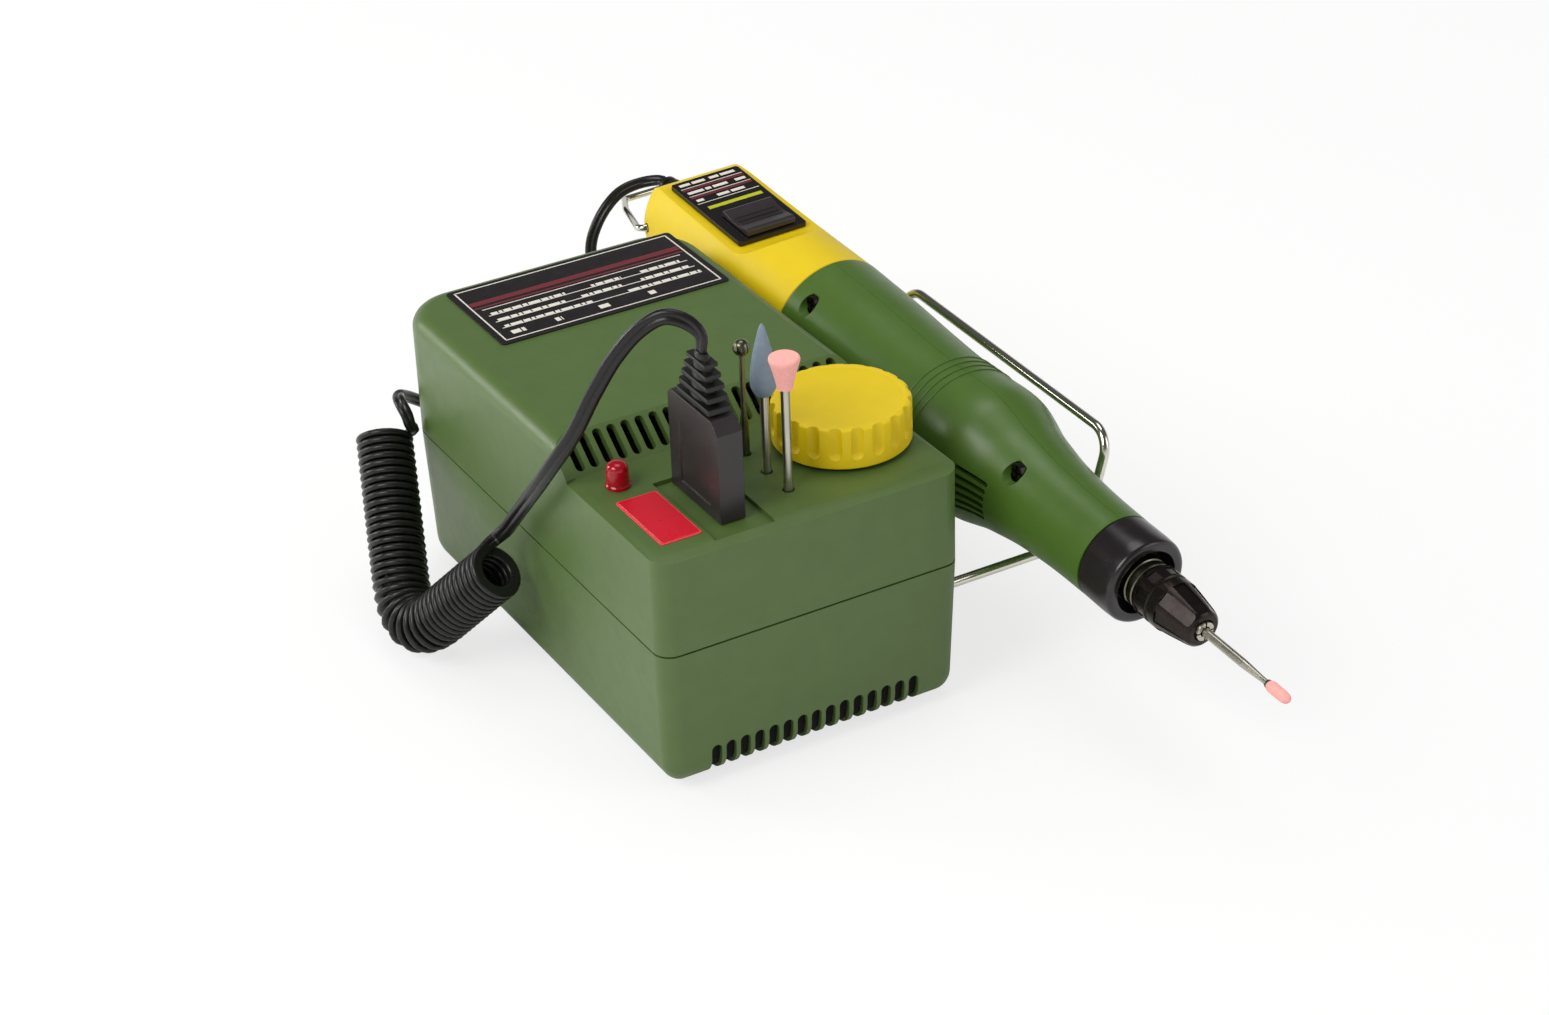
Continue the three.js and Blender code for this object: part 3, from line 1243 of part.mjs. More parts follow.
// Up out of the plug, over to the left and down beside the case to the coil's front curl
const leadLine = new THREE.CatmullRomCurve3([
  vector(plugX, plugY, plugTop + gap + reliefHeight + gap), vector(plugX, plugY, plugTop + reliefHeight + 4.6),
  vector(-19.2, -50.2, 114.8), vector(-23.6, -46.8, 116.2), vector(-28.4, -43.4, 112.8),
  vector(-33.6, -39.8, 105.4), vector(-38.6, -36.6, 95.2), vector(-43.2, -34.4, 84.8), vector(-47.6, -32, 74.6),
  vector(-51.4, -26.4, 66.4), vector(-53.2, -18.4, 58.4), vector(-53.6, -9, 51), vector(-52.6, -0.5, 45.6),
  vector(-52.6, 3.6, 41.4),
  beyond(coilFront, 2), beyond(coilFront, gap),
], false, 'centripetal');
piece(group, 'cord_lead', blackRubber, tube(leadLine, cordRadius, 32));

// The tail leaves the drill's relief, lies over the left arm of the bail and hangs behind the case.
const onDrill = (x, y, station) => vector(x, y, station).applyMatrix4(drill.matrix);
const tailExit = -capLength - reliefLength - gap;
const tailLine = new THREE.CatmullRomCurve3([
  onDrill(0, 0, tailExit), onDrill(0, 0, tailExit - 2.6), onDrill(-4.6, -1.4, -92.4), onDrill(-11, -2.9, -93.2),
  onDrill(-16.6, -6.4, -92.4), onDrill(-20.6, -11.6, -91.6), onDrill(-22.8, -16.4, -90.4),
  vector(36, 114, 41.2), vector(30, 108, 33.2), vector(19, 101, 26.6), vector(4, 93.4, 23.8), vector(-12, 86.6, 25.2),
  vector(-25, 83, 30.6), vector(-33.5, 81, 37), vector(-42, 75.6, 43.4), vector(-46.2, 68.5, 47.2),
  vector(-47.6, 64.2, 48.4), vector(-47.9, 61.6, 46.4), beyond(coilRear, 2), beyond(coilRear, gap),
], false, 'centripetal');
piece(group, 'cord_tail', blackRubber, tube(tailLine, cordRadius, 37));

export default group;
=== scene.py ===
# %% [markdown]
# # A rotary tool in the cradle of its power unit
# A green mains power unit carries a speed knob, a plug and three small tools on its deck. A
# low-voltage hand drill lies in a wire cradle at its right side, and a curly two-wire lead joins
# the two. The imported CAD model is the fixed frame, and each piece here is dressed round it.

# %% Load the frame
import bmesh
import bpy
import json
import math
from mathutils import Matrix, Vector


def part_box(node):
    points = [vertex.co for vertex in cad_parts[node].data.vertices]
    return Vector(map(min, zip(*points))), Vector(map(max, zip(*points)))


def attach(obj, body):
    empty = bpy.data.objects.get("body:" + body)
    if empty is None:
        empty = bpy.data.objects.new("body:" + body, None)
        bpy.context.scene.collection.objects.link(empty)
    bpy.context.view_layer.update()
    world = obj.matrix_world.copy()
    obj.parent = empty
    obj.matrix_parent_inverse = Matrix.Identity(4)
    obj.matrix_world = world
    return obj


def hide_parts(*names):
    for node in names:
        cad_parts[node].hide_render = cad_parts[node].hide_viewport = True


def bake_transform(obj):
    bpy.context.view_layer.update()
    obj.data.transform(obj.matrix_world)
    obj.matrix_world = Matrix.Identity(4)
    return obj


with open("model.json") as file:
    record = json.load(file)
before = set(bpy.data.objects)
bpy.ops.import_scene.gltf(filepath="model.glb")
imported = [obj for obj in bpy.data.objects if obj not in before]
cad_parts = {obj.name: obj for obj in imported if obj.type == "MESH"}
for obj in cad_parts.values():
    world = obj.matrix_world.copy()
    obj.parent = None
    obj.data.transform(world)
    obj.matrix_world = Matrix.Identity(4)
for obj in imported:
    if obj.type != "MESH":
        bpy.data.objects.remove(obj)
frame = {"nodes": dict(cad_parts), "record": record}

nodes = frame["nodes"]
scene = bpy.context.scene
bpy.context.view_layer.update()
print("CAD nodes:", len(nodes))

# %% [markdown]
# The real case is measured in millimetres and Blender works in metres, so every helper below
# takes millimetres and scales once, when it makes the mesh.

# %% Units and small helpers
MM = 0.001


def place(x, y, z):
    return Vector((x, y, z))


def middle(node):
    low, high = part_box(node)
    return (low + high) / 2 / MM


def top_of(node):
    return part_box(node)[1].z / MM


def bottom_of(node):
    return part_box(node)[0].z / MM


# %% [markdown]
# ## The camera
# The photograph was taken with a long lens from the front left and well above. Its place, its
# directions and its focal length were worked out from the straight edges of the case. It could be
# matched by eye, but then it would sit a little off the photograph.

# %% Camera
PHOTO_WIDTH = 1549
FOCAL_PIXELS = 3428.9
SENSOR = 36.0
camera_place = place(-355.7, -694.0, 490.4) * MM
camera_right = Vector((0.86434, -0.50195, -0.03115))
camera_forward = Vector((0.41902, 0.75302, -0.50733))
camera_up = camera_right.cross(camera_forward)

camera_data = bpy.data.cameras.new("camera")
camera_data.sensor_width = SENSOR
camera_data.lens = FOCAL_PIXELS * SENSOR / PHOTO_WIDTH
camera_data.clip_start = 0.05
camera_data.clip_end = 20
camera = bpy.data.objects.new("camera", camera_data)
turn = Matrix((camera_right, camera_up, -camera_forward)).transposed().to_4x4()
camera.matrix_world = Matrix.Translation(camera_place) @ turn
scene.collection.objects.link(camera)
scene.camera = camera
scene.view_settings.view_transform = "Standard"
print("lens:", round(camera_data.lens, 2), "mm")

# %% [markdown]
# ## The drill's own axes
# The drill lies nose down and a little away from the case. Its pieces are drawn upright, with
# Z along the drill towards the nose and Y up, and then laid into the cradle by one matrix. Drawn
# in place, each of their numbers would carry two angles.

# %% Drill axes
DRILL_ORIGIN = place(65.8, 27.7, 57.0)
drill_yaw = math.radians(3.1)
drill_pitch = math.radians(6.2)
noseward = Vector((
    math.sin(drill_yaw) * math.cos(drill_pitch),
    -math.cos(drill_yaw) * math.cos(drill_pitch),
    -math.sin(drill_pitch),
))
outward = Vector((math.cos(drill_yaw), math.sin(drill_yaw), 0))
upward = noseward.cross(outward)
DRILL = Matrix((outward, upward, noseward)).transposed().to_4x4()
DRILL.translation = DRILL_ORIGIN
UPRIGHT = Matrix.Identity(4)


def on_drill(x, y, station):
    return DRILL @ place(x, y, station)


# %% [markdown]
# ## Finishes
# Moulded plastic is never one flat colour: it has a fine spark-eroded grain, it is a little
# glossier where hands rub it, and its colour drifts slightly. One builder makes all the opaque
# finishes from noise on Object coordinates, and each finish only says how much of each it has.
# Noise needs no unwrapping, so a piece looks the same from every side and at every size.

# %% Finish builder
def tint(red, green, blue):
    """A colour as it is seen on a screen, 0 to 255, in the linear values that shaders take."""
    return tuple(
        c / 12.92 if c <= 0.04045 else ((c + 0.055) / 1.055) ** 2.4
        for c in (red / 255, green / 255, blue / 255)
    ) + (1.0,)


def finish(name, colour, rough, drift=0.12, drift_size=6.0, grain=0.0, grain_size=0.35,
           metal=0.0, smudge=0.08, coat=0.0, clear=0.0, specular=0.5):
    """drift is how far the colour wanders, grain the bump's strength, sizes are in millimetres."""
    material = bpy.data.materials.new(name)
    material.use_nodes = True
    tree = material.node_tree
    shader = tree.nodes["Principled BSDF"]
    shader.inputs["Metallic"].default_value = metal
    shader.inputs["Specular IOR Level"].default_value = specular
    shader.inputs["Coat Weight"].default_value = coat
    shader.inputs["Coat Roughness"].default_value = 0.15
    shader.inputs["Transmission Weight"].default_value = clear
    where = tree.nodes.new("ShaderNodeTexCoord")

    def noise(size, detail):
        cloud = tree.nodes.new("ShaderNodeTexNoise")
        cloud.inputs["Scale"].default_value = 1 / (size * MM)
        cloud.inputs["Detail"].default_value = detail
        tree.links.new(where.outputs["Object"], cloud.inputs["Vector"])
        return cloud.outputs["Fac"]

    mix = tree.nodes.new("ShaderNodeMix")
    mix.data_type = "RGBA"
    darker, lighter, mixed = mix.inputs[6], mix.inputs[7], mix.outputs[2]   # its colour sockets
    darker.default_value = tuple(c * (1 - drift) for c in colour[:3]) + (1,)
    lighter.default_value = tuple(min(c * (1 + drift), 1) for c in colour[:3]) + (1,)
    tree.links.new(noise(drift_size, 4), mix.inputs[0])
    tree.links.new(mixed, shader.inputs["Base Color"])
    span = tree.nodes.new("ShaderNodeMapRange")
    span.inputs["To Min"].default_value = max(rough - smudge, 0.03)
    span.inputs["To Max"].default_value = min(rough + smudge, 1)
    tree.links.new(noise(drift_size * 0.6, 3), span.inputs["Value"])
    tree.links.new(span.outputs["Result"], shader.inputs["Roughness"])
    if grain:
        bump = tree.nodes.new("ShaderNodeBump")
        bump.inputs["Strength"].default_value = grain
        bump.inputs["Distance"].default_value = grain_size * 0.25 * MM
        tree.links.new(noise(grain_size, 2), bump.inputs["Height"])
        tree.links.new(bump.outputs["Normal"], shader.inputs["Normal"])
    return material


# %% [markdown]
# The unit is a greyed grass green, the drill a fresher one, and the knob and the drill's cap are
# the same warm yellow. Blacks differ by gloss: printed plates and the nose ring shine most, then
# the cord's jacket and the moulded pieces, and the strip behind the vent notches is dull. That
# strip's near-black is painted shade, standing in for the shade inside the case.

# %% Finishes
case_green = finish("case_green", tint(75, 98, 46), 0.4, drift=0.08, grain=0.35, grain_size=0.3)
drill_green = finish("drill_green", tint(69, 99, 33), 0.36, drift=0.08, grain=0.2, grain_size=0.3)
yellow = finish("yellow", tint(216, 187, 3), 0.48, drift=0.05, grain=0.15, specular=0.36)
black_plastic = finish("black_plastic", tint(40, 33, 35), 0.34, grain=0.15)
black_rubber = finish("black_rubber", tint(24, 23, 22), 0.3, grain=0.2, grain_size=0.5,
                      specular=0.36)
# painted shade: near-black and dull, for the strip that stands in for the shade behind the vent
# notches
painted_shade_black = finish("painted_shade_black", tint(10, 10, 10), 0.8, specular=0.2)
gloss_black = finish("gloss_black", tint(24, 19, 21), 0.22, drift=0.2)
red_plate_finish = finish("red_plate_finish", tint(200, 6, 36), 0.3, drift=0.08, coat=0.3)
# painted highlight: a paler red for the plate's rim, where its edge catches the light
red_rim_highlight = finish("red_rim_highlight", tint(226, 66, 70), 0.3, drift=0.06)
red_clear = finish("red_clear", tint(186, 8, 34), 0.16, drift=0.08, clear=0.35)
wire_chrome = finish("wire_chrome", tint(212, 210, 196), 0.16, metal=1.0, drift=0.06, smudge=0.06)
bright_steel = finish("bright_steel", tint(186, 182, 168), 0.3, metal=1.0, drift=0.12)
dark_steel = finish("dark_steel", tint(118, 116, 98), 0.3, metal=1.0, drift=0.35, drift_size=2.5)
ring_black = finish("ring_black", tint(30, 24, 27), 0.24, drift=0.15, grain=0.1)
chuck_steel = finish("chuck_steel", tint(46, 40, 37), 0.26, metal=0.85, drift=0.5, drift_size=3)
pink_stone = finish("pink_stone", tint(246, 170, 162), 0.9, drift=0.16, drift_size=0.7,
                    grain=0.9, grain_size=0.35)
blue_rubber = finish("blue_rubber", tint(122, 138, 152), 0.75, drift=0.14, drift_size=1.2,
                     grain=0.6, grain_size=0.4)
white_print = finish("white_print", tint(214, 210, 198), 0.4, drift=0.08, drift_size=2)
red_print = finish("red_print", tint(104, 26, 36), 0.4, drift=0.1, drift_size=2)
yellow_print = finish("yellow_print", tint(176, 182, 20), 0.4, drift=0.08, drift_size=2)
laminations = finish("laminations", tint(110, 110, 112), 0.4, metal=0.8, drift=0.25)
copper_wire = finish("copper_wire", tint(168, 84, 38), 0.3, metal=0.7, drift=0.2, drift_size=1.5)
turned_brass = finish("turned_brass", tint(188, 150, 72), 0.3, metal=1.0)
board_green = finish("board_green", tint(28, 88, 52), 0.4, drift=0.3, drift_size=3)
print("finishes:", len(bpy.data.materials))

# %% [markdown]
# ## Making meshes
# A piece is kept as one plain mesh in the row's own frame, so helpers turn points and faces into
# an object, round its sharp edges, and smooth it up to a chosen angle.

# %% Mesh helpers
SMOOTH = math.radians(34)
SAME_POINT = 0.004 * MM


def new_mesh(name, points, faces):
    mesh = bpy.data.meshes.new(name)
    mesh.from_pydata([Vector(p) * MM for p in points], [], faces)
    mesh.update()
    made = bpy.data.objects.new(name, mesh)
    scene.collection.objects.link(made)
    return made


def baked(made):
    """Runs the modifiers that the object carries and keeps their result as its plain mesh."""
    bpy.context.view_layer.update()
    result = bpy.data.meshes.new_from_object(made.evaluated_get(
        bpy.context.evaluated_depsgraph_get()))
    made.modifiers.clear()
    made.data = result
    return made


def tidy(made):
    """Merges doubles and turns all faces outwards."""
    work = bmesh.new()
    work.from_mesh(made.data)
    bmesh.ops.remove_doubles(work, verts=work.verts, dist=SAME_POINT)
    bmesh.ops.recalc_face_normals(work, faces=work.faces)
    work.to_mesh(made.data)
    work.free()
    return made


def rounded(made, width, segments=3, angle=30):
    bevel = made.modifiers.new("edges", "BEVEL")
    bevel.width = width * MM
    bevel.segments = segments
    bevel.limit_method = "ANGLE"
    bevel.angle_limit = math.radians(angle)
    bevel.use_clamp_overlap = True
    bevel.harden_normals = False
    return baked(made)


def boolean(made, tool, operation="DIFFERENCE"):
    change = made.modifiers.new("cut", "BOOLEAN")
    change.operation = operation
    change.solver = "EXACT"
    change.object = tool
    baked(made)
    bpy.data.objects.remove(tool)
    return made


def cut(made, *tools):
    for tool in tools:
        boolean(made, tool)
    return made


def dress(made, body, slot, material, *replaced, angle=SMOOTH, even=True):
    """Hands the finished piece over: its finish, its body, and the CAD nodes it stands for."""
    made.data.materials.clear()
    made.data.materials.append(material)
    for face in made.data.polygons:
        face.use_smooth = True
        face.material_index = 0
    made.data.set_sharp_from_angle(angle=angle)
    if even:                            # flat faces stay flat beside their rounded edges
        weigh = made.modifiers.new("even", "WEIGHTED_NORMAL")
        weigh.keep_sharp = True
        baked(made)
    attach(made, body)
    if replaced:
        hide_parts(*replaced)
    print(f"{made.name}: {len(made.data.polygons)} faces")
    return made


def paint(node, material):
    """A CAD node whose shape is right only gets its finish."""
    slots = nodes[node].data.materials
    slots.clear()
    slots.append(material)


# %% [markdown]
# ## The cord
# The cord is a flat twin: two round wires side by side with a groove between them. It leaves the
# plug, arches over the deck, drops beside the case into a tight curly stretch that rests on the
# bench, and goes on behind the case to the drill's tail. All three stretches share one section,
# which is swept along the route and turned a little on its way, so the ends line up. A bevelled
# curve would do for a round cord, but it gives little say in how a flat one turns.

# %% Cord section
CORD_WIDTH = 3.4
WIRE_RADIUS = 0.98
wire_offset = CORD_WIDTH / 2 - WIRE_RADIUS
groove_angle = math.acos(-wire_offset / WIRE_RADIUS)


def twin_section(steps):
    outline = []
    for side in (1, -1):
        for i in range(steps):
            a = -groove_angle + 2 * groove_angle * i / (steps - 1)
            if i == steps - 1:
                continue
            x = side * (wire_offset + WIRE_RADIUS * math.cos(a))
            outline.append((x, side * WIRE_RADIUS * math.sin(a)))
    return outline


# %% Smooth route
def smooth_route(points, spacing):
    """A centripetal Catmull-Rom curve through the points, in steps of the spacing."""
    p = [Vector(q) for q in points]
    p = [2 * p[0] - p[1]] + p + [2 * p[-1] - p[-2]]
    fine = []
    for i in range(1, len(p) - 2):
        a, b, c, d = p[i - 1:i + 3]
        t1 = max((b - a).length, 1e-6) ** 0.5
        t2 = t1 + max((c - b).length, 1e-6) ** 0.5
        t3 = t2 + max((d - c).length, 1e-6) ** 0.5
        for k in range(24):
            t = t1 + (t2 - t1) * k / 24
            a1 = a * (t1 - t) / t1 + b * t / t1
            a2 = b * (t2 - t) / (t2 - t1) + c * (t - t1) / (t2 - t1)
            a3 = c * (t3 - t) / (t3 - t2) + d * (t - t2) / (t3 - t2)
            b1 = a1 * (t2 - t) / t2 + a2 * t / t2
            b2 = a2 * (t3 - t) / (t3 - t1) + a3 * (t - t1) / (t3 - t1)
            fine.append(b1 * (t2 - t) / (t2 - t1) + b2 * (t - t1) / (t2 - t1))
    fine.append(p[-2])
    return even_steps(fine, spacing)


def even_steps(line, spacing):
    run = [0.0]
    for a, b in zip(line, line[1:]):
        run.append(run[-1] + (b - a).length)
    count = max(int(round(run[-1] / spacing)), 2)
    even = []
    k = 0
    for i in range(count + 1):
        want = run[-1] * i / count
        while k < len(run) - 2 and run[k + 1] < want:
            k += 1
        share = (want - run[k]) / max(run[k + 1] - run[k], 1e-9)
        even.append(line[k].lerp(line[k + 1], share))
    return even


def tangents(line):
    return [(line[min(i + 1, len(line) - 1)] - line[max(i - 1, 0)]).normalized()
            for i in range(len(line))]


def long_way(line):
    return sum((b - a).length for a, b in zip(line, line[1:]))


def carried(line, first):
    """The first width direction, carried along the line without any twist."""
    along = tangents(line)
    wide = [(first - along[0] * first.dot(along[0])).normalized()]
    for a, b in zip(along, along[1:]):
        w = a.rotation_difference(b) @ wide[-1]
        wide.append((w - b * w.dot(b)).normalized())
    return along, wide


def sweep(name, line, along, wide, section, scale=None):
    """A closed tube of the section along the line."""
    points, faces = [], []
    n = len(section)
    for i, p in enumerate(line):
        side = wide[i]
        over = along[i].cross(side)
        s = 1.0 if scale is None else scale(i / (len(line) - 1))
        points += [p + side * (x * s) + over * (y * s) for x, y in section]
    for i in range(len(line) - 1):
        for j in range(n):
            a, b = i * n + j, i * n + (j + 1) % n
            faces.append((a, b, b + n, a + n))
    faces.append(tuple(range(n - 1, -1, -1)))
    faces.append(tuple(range((len(line) - 1) * n, len(line) * n)))
    return new_mesh(name, points, faces)


# %% [markdown]
# The coil is a helix round a middle line that dips to the bench and climbs again. A Screw modifier
# makes only straight ones, so its points are worked out. Curls can't crowd at the inside of a
# bend, so they are dealt out by the length of the bend's inner side.

# %% Coil route
COIL_RADIUS = 6.1
COIL_CURLS = 40.667
COIL_START = 1.222
CORD_THICKNESS = 2.1
AIR = 0.3
CORD_STEP = 1.2
coil_corner = place(-68.2, 25.5, 0)
coil_bend = 18
least_share = 0.42                      # of a bend's length, where its inner side is shortest


def coil_middle():
    """Two straight legs with one rounded bend between them."""
    front, rear = place(-53.2, -3, 32.8), place(-52.2, 67.5, 39)
    into = coil_corner + (front - coil_corner).normalized() * coil_bend
    out_of = coil_corner + (rear - coil_corner).normalized() * coil_bend
    bend = [into * (1 - t) ** 2 + coil_corner * 2 * t * (1 - t) + out_of * t * t
            for t in (i / 60 for i in range(61))]
    return even_steps([front] + bend + [rear], 0.18)


def coil_route(steps):
    line = coil_middle()
    along = [(b - a).normalized() for a, b in zip(line, line[1:])]
    along.append(along[-1])
    t = along[0]
    least = min(range(3), key=lambda i: abs(t[i]))
    axis = Vector([float(i == least) for i in range(3)])
    side = t.cross(t.cross(axis).normalized())
    sides = [side]
    for a, b in zip(along, along[1:]):
        side = a.rotation_difference(b) @ side
        sides.append((side - b * side.dot(b)).normalized())
    turns = [0.0]
    for i in range(1, len(line)):
        step = (line[i] - line[i - 1]).length
        bend = along[i - 1].angle(along[i], 0.0)
        turns.append(turns[-1] + step * max(1 - bend / step * (COIL_RADIUS + 0.6), least_share))
    scale = COIL_CURLS / turns[-1]
    out, arms = [], []
    k = 0
    for n in range(int(COIL_CURLS * steps) + 1):
        want = n / steps
        while k < len(line) - 2 and turns[k + 1] * scale < want:
            k += 1
        share = (want - turns[k] * scale) / max((turns[k + 1] - turns[k]) * scale, 1e-9)
        angle = COIL_START - 2 * math.pi * want
        arm = sides[k] * math.cos(angle) + along[k].cross(sides[k]) * math.sin(angle)
        out.append(line[k].lerp(line[k + 1], share) + arm * COIL_RADIUS)
        arms.append(arm)
    return out, arms


coil_line, coil_arms = coil_route(steps=24)
front_along = (coil_line[0] - coil_line[1]).normalized()
rear_along = (coil_line[-1] - coil_line[-2]).normalized()
coil_line = ([coil_line[0] + front_along * CORD_THICKNESS] + coil_line
             + [coil_line[-1] + rear_along * CORD_THICKNESS])
coil_arms = [coil_arms[0]] + coil_arms + [coil_arms[-1]]
along = tangents(coil_line)
wide = [(arm - t * arm.dot(t)).normalized() for arm, t in zip(coil_arms, along)]
coil = sweep("curly_cord", coil_line, along, wide, twin_section(7))
dress(coil, "housing", "black_rubber", black_rubber, "cord_coil", angle=math.radians(50),
      even=False)
print("coil ends:", [round(v, 2) for v in coil_line[0]], [round(v, 2) for v in coil_line[-1]])

# %% [markdown]
# The two free stretches follow the solids' route, but near the coil they leave it by up to 6 mm,
# to come closer to the photograph. The tail is one sweep, cut into two lengths that meet behind
# the case.

# %% Lead and tail
plug_exit = middle("plug_relief")
plug_exit.z = top_of("plug_relief") + AIR


def beyond(point, direction, distance):
    return point + direction * distance


def shown(line, first, last):
    """Turns the cord's broad side to the front, and eases it into its first and last direction."""
    along = tangents(line)
    wide = [t.cross(camera_forward).normalized() for t in along]
    for end, goal, order in ((0, first, 1), (-1, last, -1)):
        goal = (goal - along[end] * goal.dot(along[end])).normalized()
        if goal.dot(wide[end]) < 0:     # a flat cord looks the same after half a turn
            goal = -goal
        off = math.atan2(wide[end].cross(goal).dot(along[end]), wide[end].dot(goal))
        for i in range(12):
            k = i if order == 1 else len(line) - 1 - i
            ease = (1 - i / 12) ** 2 * (1 + 2 * i / 12)
            wide[k] = Matrix.Rotation(off * ease, 3, along[k]) @ wide[k]
    return along, wide


def fuller(t):
    """The straight jacket is a fifth thicker than the wound one, and thins into it at its ends."""
    return 1 + 0.2 * min(1, t * 14, (1 - t) * 14)


lead_points = [
    plug_exit, plug_exit + place(0, 0, 4), (-19.2, -50.2, 114.8), (-23.6, -46.8, 116.2),
    (-28.4, -43.4, 112.8), (-33.6, -39.8, 105.4), (-38.6, -36.6, 95.2), (-43.2, -33.6, 84.2),
    (-47.4, -28.4, 73.8), (-49.2, -20.6, 63.4), (-49.2, -12.4, 54.6), (-48.8, -5.4, 47.4),
    (-48.6, 0.6, 41.2), (-50.2, 3.2, 38),
    beyond(coil_line[0], front_along, 1.4), beyond(coil_line[0], front_along, AIR * 0.2),
]
lead_line = smooth_route(lead_points, CORD_STEP)
along, wide = shown(lead_line, Vector((0, 1, 0)), coil_arms[0])
lead = sweep("lead_cord", lead_line, along, wide, twin_section(9), fuller)

CAP_END, SLEEVE_REACH = -73.0, 12.6     # along the drill, as TAIL_EXIT is
TAIL_EXIT = CAP_END - SLEEVE_REACH - AIR
TAIL_SPLIT = 0.68                       # share of the tail in the first of its two lengths
tail_points = [
    on_drill(0, 0, TAIL_EXIT), on_drill(0, 0, TAIL_EXIT - 2.6), on_drill(-4.6, -1.4, -92.4),
    on_drill(-11, -2.9, -93.2), on_drill(-16.6, -6.4, -92.4), on_drill(-20.6, -11.6, -91.6),
    on_drill(-22.8, -16.4, -90.4), (36, 114, 41.2), (30, 108, 33.2), (19, 101, 26.6),
    (4, 93.4, 23.8), (-12, 86.6, 25.2), (-25, 83, 30.6), (-34, 80.6, 37.6), (-41.6, 76, 44),
    (-45.8, 70.4, 47.6), (-47.2, 65.6, 48), (-47, 62.6, 45.8), (-46.6, 62.2, 43.2),
    beyond(coil_line[-1], rear_along, 2.4), beyond(coil_line[-1], rear_along, AIR * 0.2),
]
tail_line = smooth_route(tail_points, CORD_STEP)
along, wide = shown(tail_line, outward, coil_arms[-1])
split = round(len(tail_line) * TAIL_SPLIT)
tail, tail_end = [
    sweep(name, tail_line[part], along[part], wide[part], twin_section(9))
    for name, part in (("tail_cord", slice(0, split + 1)), ("tail_cord_end", slice(split, None)))]

for piece, node in ((lead, "cord_lead"), (tail, "cord_tail"), (tail_end, "cord_tail")):
    piece.data.materials.append(black_rubber)
    for face in piece.data.polygons:
        face.use_smooth = True
    piece.data.set_sharp_from_angle(angle=math.radians(50))
    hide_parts(node)
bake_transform(lead)
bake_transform(tail)
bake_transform(tail_end)

for piece, line, lay in ((lead, lead_line, "hanging"), (coil, coil_line, "coiled"),
                         (tail, tail_line[:split + 1], "hanging"),
                         (tail_end, tail_line[split:], "hanging")):
    print(piece.name, "is", round(long_way(line)), "mm long")

# %% [markdown]
# ## Solids from outlines
# Nearly every piece here is either turned on a lathe or pressed in a straight mould, so two
# makers cover them: one runs an outline straight along an axis, the other turns a profile. The
# built-in cubes and cylinders would need as many numbers, and more steps to get their edges.

# %% Outlines, blocks and turned pieces
def arc(x, y, radius, start, end, steps):
    return [(x + radius * math.cos(math.radians(start + (end - start) * i / steps)),
             y + radius * math.sin(math.radians(start + (end - start) * i / steps)))
            for i in range(steps + 1)]


def block(name, outline, low, high, axis="Z"):
    """Runs an outline along an axis. It is drawn in X and Y, for X in Y and Z, for Y in X and Z."""
    lay = {"Z": lambda a, b, h: (a, b, h), "X": lambda a, b, h: (h, a, b),
           "Y": lambda a, b, h: (a, h, b)}[axis]
    n = len(outline)
    points = [lay(a, b, low) for a, b in outline] + [lay(a, b, high) for a, b in outline]
    faces = [tuple(range(n)), tuple(range(n, 2 * n))]
    faces += [(i, (i + 1) % n, (i + 1) % n + n, i + n) for i in range(n)]
    return tidy(new_mesh(name, points, faces))


def box(name, x0, x1, y0, y1, z0, z1):
    return block(name, [(x0, y0), (x1, y0), (x1, y1), (x0, y1)], z0, z1)


def turned(name, profile, steps=72):
    """Turns (radius, height) pairs round Z. A profile that ends where it began makes a ring."""
    points, faces = [], []
    for radius, height in profile:
        points += [(radius * math.cos(2 * math.pi * j / steps),
                    radius * math.sin(2 * math.pi * j / steps), height) for j in range(steps)]
    for i in range(len(profile) - 1):
        for j in range(steps):
            a, b = i * steps + j, i * steps + (j + 1) % steps
            faces.append((a, b, b + steps, a + steps))
    return tidy(new_mesh(name, points, faces))


def rod(name, radius, low, high, steps=32):
    return turned(name, [(0, low), (radius, low), (radius, high), (0, high)], steps)


def softened(profile, spacing=0.8):
    """The same profile as one smooth curve through its points."""
    return [(p.x, p.z) for p in smooth_route([(r, 0, h) for r, h in profile], spacing)]


def moved(made, x=0, y=0, z=0, turn=None):
    matrix = Matrix.Translation(Vector((x, y, z)) * MM)
    made.data.transform(matrix @ (turn or UPRIGHT))
    return made


def about(axis, degrees):
    return Matrix.Rotation(math.radians(degrees), 4, axis)


LIE = DRILL.copy()
LIE.translation = DRILL_ORIGIN * MM


def laid(made):
    """From the drill's own axes into the cradle."""
    made.data.transform(LIE)
    return made


def joined(name, *pieces):
    whole = bmesh.new()
    for piece in pieces:
        whole.from_mesh(piece.data)
    mesh = bpy.data.meshes.new(name)
    whole.to_mesh(mesh)
    whole.free()
    for piece in pieces:
        bpy.data.objects.remove(piece)
    made = bpy.data.objects.new(name, mesh)
    scene.collection.objects.link(made)
    return made


# %% [markdown]
# ## Copies in a row or a ring
# Vent slots, the knob's scoops, spanner flats and printed rules are each one small shape at an even
# pitch. One Geometry Nodes tree deals them out: a line of points, an instance on each, a turn and
# a change of size that grow with the point's number. Realize Instances makes them real faces.

